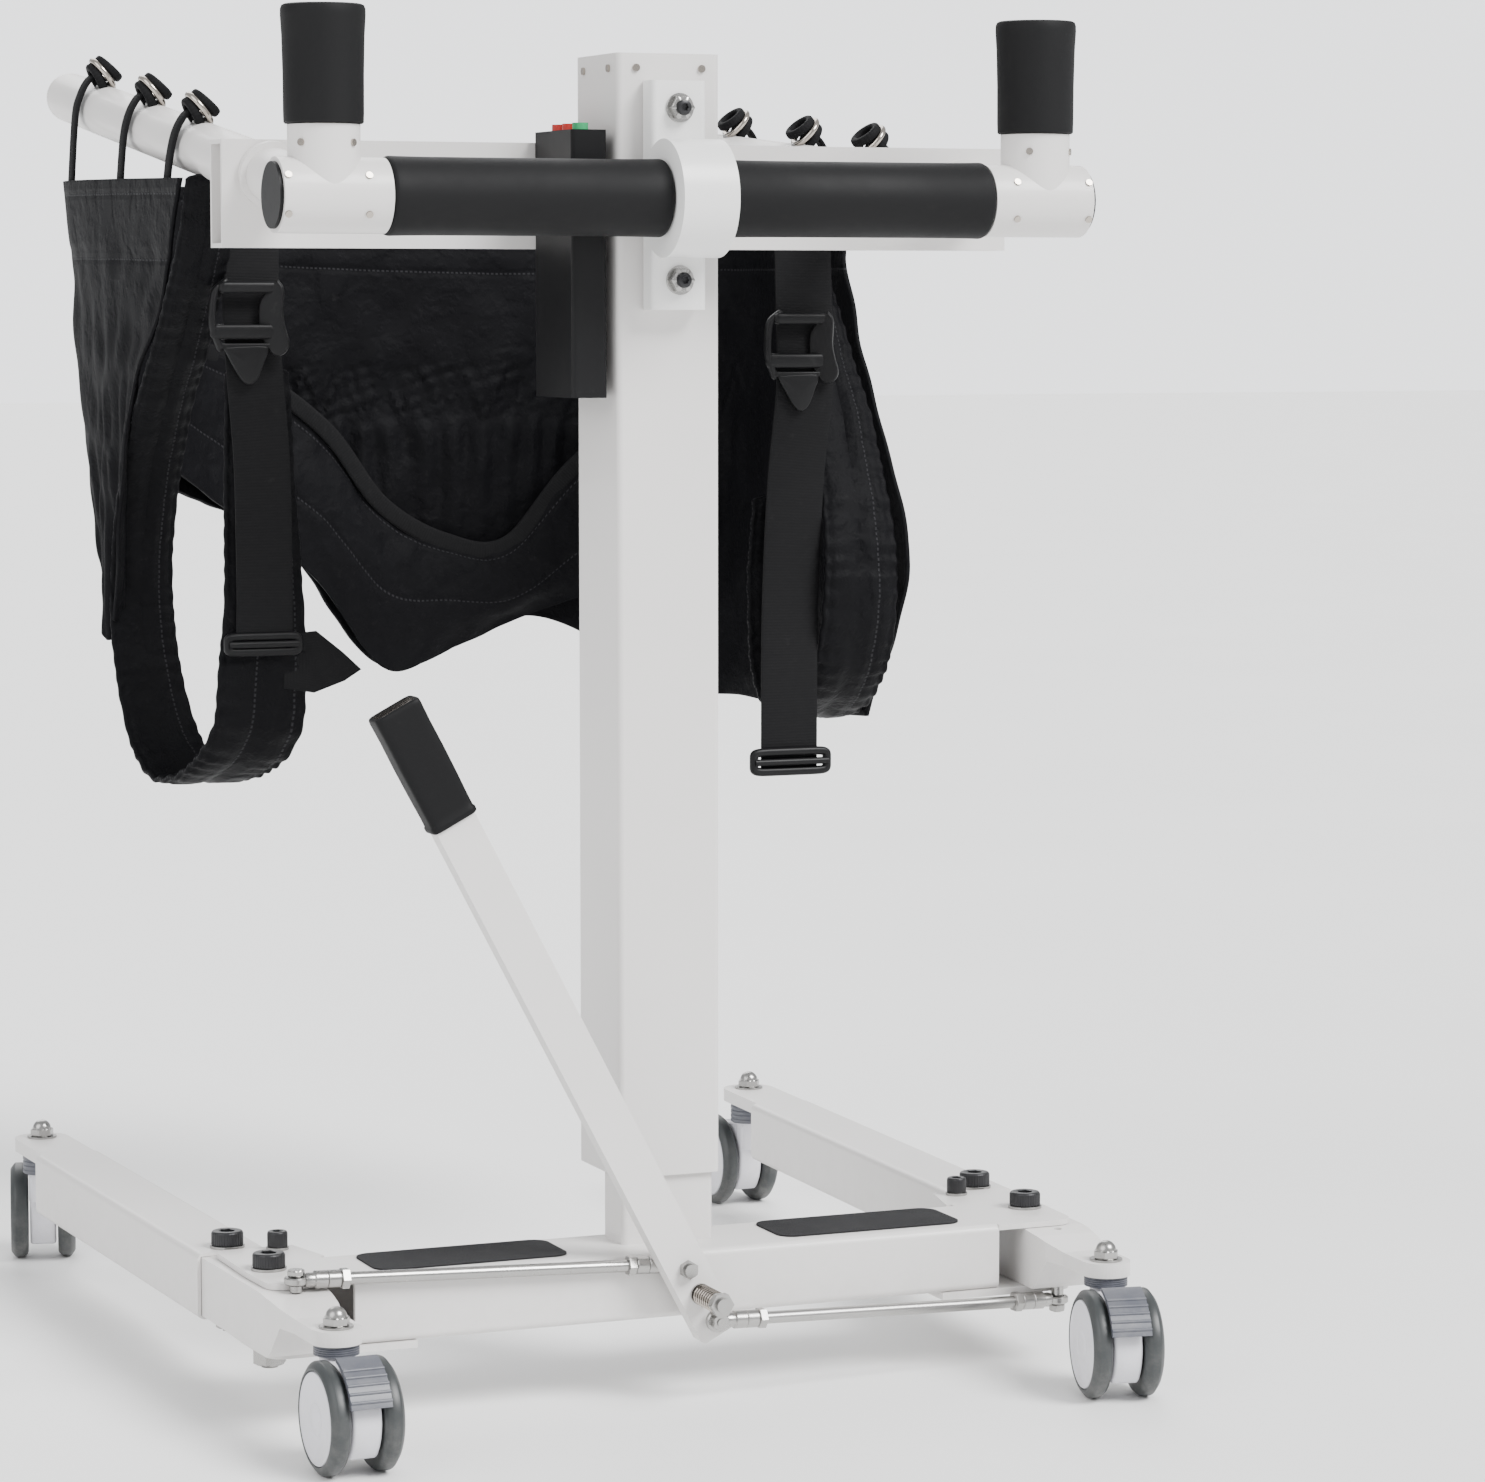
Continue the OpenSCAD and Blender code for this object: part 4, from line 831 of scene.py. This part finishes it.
for side, hand in ((-1, "left"), (1, "right")):
    leg_low, leg_high, _ = box(f"leg_tube_{hand}")
    carry, body = on_leg(side), f"leg_{hand}"
    along = {"bolt": LEG_BOLT_Y, "near": STEMS["front"], "far": STEMS["rear"], "stud": LEG_STUD_Y}
    seats = {name: at(0, y, 0) for name, y in along.items()}
    silver = [washer(leg_high.z, 12.2, 2), washer(leg_low.z - 2, 10.5, 2), hex_body(leg_low.z - 10, 9, 8),
              thread(leg_low.z - 12, leg_low.z - 1, 3.9)]
    silver = [moved(p, seats["bolt"]) for p in silver]
    silver += [moved(p, seats["near"]) for p in acorn(90)] + [moved(p, seats["far"]) for p in acorn(leg_high.z)]
    if side < 0:
        stud = [thread(97.6, 111.4, 3), washer(97.6, 4.5, 4.5), hex_body(108.6, 6.2, 4.2)]
    else:
        stud = [thread(37, 57, 3), washer(49.4, 4.6, 7), hex_body(37.8, 6.2, 5)]
    silver += [moved(p, seats["stud"]) for p in stud]
    piece(f"leg_bolt_head_{hand}", [moved(knurled_head(leg_high.z + 2, 11, 10), carry @ seats["bolt"])],
          "steel_black", body, [f"leg_bolts_{hand}"])
    piece(f"leg_nuts_{hand}", [moved(p, carry) for p in silver], "zinc", body)

clamp_low, clamp_high, _ = box("saddle_clamp")
CLAMP_FACE = -20
nuts, ends = [], []
for z in (clamp_low.z + 20, clamp_high.z - 18.5):
    facing = at(0, CLAMP_FACE, z, Matrix.Rotation(math.pi / 2, 4, "X"))
    nuts += [moved(washer(0, 10, 1.6), facing), moved(hex_body(1.5, 8.6, 6.4), facing)]
    ends.append(moved(lathe([(7, 0), (7, 5.4), (9, 5.4), (10.6, 4.6), (11.2, 3.2), (11.2, 2.6), (10.8, 2.4, 6),
                             (8.6, 2.4, 6), (8.4, 0)], 48), facing))
piece("clamp_nuts", nuts, "zinc", stands_for=["clamp_bolts"])
piece("clamp_bolt_ends", ends, "steel_black")

# --- Tie rods ---


def tie_rod(start, end, length):
    """Both ends of a tie rod on its line: at each end a ringed shank, a coupling and a hexagonal jam nut, with
    a thin core between them."""
    ahead = (end - start).to_track_quat("Z", "Y").to_matrix().to_4x4()
    half = [(6, 0), (6, 4.6), (8, 5.2), (12, 5), (13, 6.2), (21, 6.2), (21.6, 5.6), (22.2, 6.2), (30, 6.2), (31, 5.4),
            (31.4, 7.2, 6), (31.6, 7.4, 6), (36.4, 7.4, 6), (36.6, 7.2, 6), (37, 4.3)]
    rows = half + [(length - row[0], *row[1:]) for row in half[::-1]]
    return moved(lathe(rows, 48), at(*start, ahead))


def rod_eye(place, turn):
    """The ring of a rod end: a round rim with a bore, and the ball's two shoulders in it."""
    rim = lathe([(-2.5, 5.2), (-2.5, 7.2), (-1.6, 8), (1.6, 8), (2.5, 7.2), (2.5, 5.2), (-2.5, 5.2)], 40)
    ball = [(3.2 * math.sin(a), 2.1 + 3.2 * math.cos(a)) for a in np.linspace(-1.4, 1.4, 9)]
    return [moved(p, at(*place, turn)) for p in (rim, lathe([*ball, ball[0]], 32))]


STUD_ARM, SIN_LEAN, COS_LEAN = 20.4, math.sin(math.radians(27.8)), math.cos(math.radians(27.8))
for side, hand, rod_y, eye_z in ((-1, "left", -36, 105.4), (1, "right", -63.5, 46)):
    start = Vector((side * STUD_ARM * SIN_LEAN, rod_y, 77 - side * STUD_ARM * COS_LEAN))
    end = on_leg(side) @ Vector((0, LEG_STUD_Y, eye_z))
    piece(f"tie_rod_end_{hand}",
          [tie_rod(start, end, (end - start).length), *rod_eye(start, TO_Y), *rod_eye(end, Matrix.Identity(4))],
          "zinc", f"tie_rod_{hand}", [f"tie_rod_{hand}"])
    bar = smooth_line([start.lerp(end, t) for t in (0.13, 0.5, 0.87)], 12)
    piece(f"tie_rod_bar_{hand}", [carried(bar, loop(8.4, 8.4, 2, 24), (0, 1, 0))], "nickel", f"tie_rod_{hand}")

# --- Lever grip ---

LEAN, PIVOT_Z, LEVER_Y, LEVER_LEN = math.radians(27.8), 77, -49, 465
on_lever = at(0, 0, PIVOT_Z, Matrix.Rotation(-LEAN, 4, "Y"))


def grip_sleeve():
    """Square sleeve with round corners carried up the lever: a collar at the foot, a slight swell, and a
    rim that turns in at the top."""
    t = np.array([0, 0, 0.8, 2, 4, 5, 10, 30, 50, 70, 80, 84, 86.5, 87.6, 88, 88, 87, 86])
    grow = np.array([-3, -1.2, -0.3, 0, 0, -0.7, -0.8, -0.4, -0.2, -0.4, -0.2, -0.1, -0.3, -1, -1.8, -2.6, -3, -3.2])
    outline = loop(1, 1, 7, 96)
    size = np.stack([35 + 2 * grow, 22 + 2 * grow], -1)
    points = outline[None] * size[:, None]
    return np.concatenate([points, np.broadcast_to((LEVER_LEN - 88 + t)[:, None, None], points.shape[:2] + (1,))], -1)


piece("lever_sleeve", [moved(surface(grip_sleeve(), True), on_lever @ at(0, LEVER_Y, 0))], "rubber_black", "lever",
      ["lever_grip"])
piece("lever_end", [moved(slab(loop(30, 16.4, 7, 64), 2.4, 0.6), on_lever @ at(0, LEVER_Y, LEVER_LEN - 3))],
      "steel_bright", "lever")

# --- Finish the CAD parts ---

for part in frame["record"]["subparts"]:
    made = frame["nodes"][part["node"]]
    made.data.materials.clear()
    made.data.materials.append(FINISHES[part["material_slot"]])

# --- Straps: each one's length in metres and its side, not used further ---

for name, (path, width) in STRAPS.items():
    run = np.linalg.norm(np.diff(np.array(path, float), axis=0), axis=1).sum() * MM
    hand = name.split("_")[1]

# --- Stage, light and camera ---


def floor():
    made = bpy.data.objects.new("floor", bpy.data.meshes.new("floor"))
    half = 30
    corners = [(-half, -half, 0), (half, -half, 0), (half, half, 0), (-half, half, 0)]
    made.data.from_pydata(corners, [], [(0, 1, 2, 3)])
    paint, tree, shader = material("pale_floor")
    parts = placed_group(tree, GRAIN, Scale=300, Patch_Scale=2, Scuffs=0)
    paler = mixed(tree, parts["Patches"], (0.89, 0.89, 0.885), (0.92, 0.92, 0.915))
    tree.links.new(paler, shader.inputs["Base Color"])
    tree.links.new(spread(tree, parts["Patches"], 0.2, 0.8, 0.5, 0.62), shader.inputs["Roughness"])
    made.data.materials.append(paint)
    bpy.context.scene.collection.objects.link(made)


def soft_sun(name, place, power, softness):
    """Even light from one side, the same all over the floor; softness is the light's width in degrees."""
    lamp = bpy.data.lights.new(name, "SUN")
    lamp.energy, lamp.angle = power, math.radians(softness)
    made = bpy.data.objects.new(name, lamp)
    made.rotation_euler = Vector(place).to_track_quat("Z", "Y").to_euler()
    bpy.context.scene.collection.objects.link(made)


floor()
# The place each light comes from, its power, and its width in degrees.
soft_sun("key", (1.5, -2.2, 2.6), 5.2, 28)
soft_sun("side", (-2.4, -0.9, 1.6), 1.5, 50)
soft_sun("back", (0.4, 2.6, 2.0), 1.2, 40)


def studio():
    """Soft sky: dim where it lights the object, and pale where the camera sees it past the floor."""
    world = bpy.data.worlds.new("studio")
    world.use_nodes = True
    tree = world.node_tree
    seen = add(tree, "ShaderNodeLightPath").outputs["Is Camera Ray"]
    sky = tree.nodes["Background"]
    sky.inputs["Color"].default_value = (0.97, 0.98, 1.0, 1)
    tree.links.new(spread(tree, seen, 0, 1, 0.75, 2.3), sky.inputs["Strength"])
    bpy.context.scene.world = world


studio()

# Eye place in metres, then the camera's turn to its right and its tip downwards in radians.
EYE, EYE_TURN, EYE_TIP = (-1.18825, -3.23047, 0.75969), 0.3927, 0.09443
camera = bpy.data.objects.new("camera", bpy.data.cameras.new("camera"))
camera.data.sensor_width, camera.data.lens = 36, 113.66
camera.location = EYE
camera.rotation_euler = (math.pi / 2 - EYE_TIP, 0, -EYE_TURN)
bpy.context.scene.collection.objects.link(camera)
bpy.context.scene.camera = camera
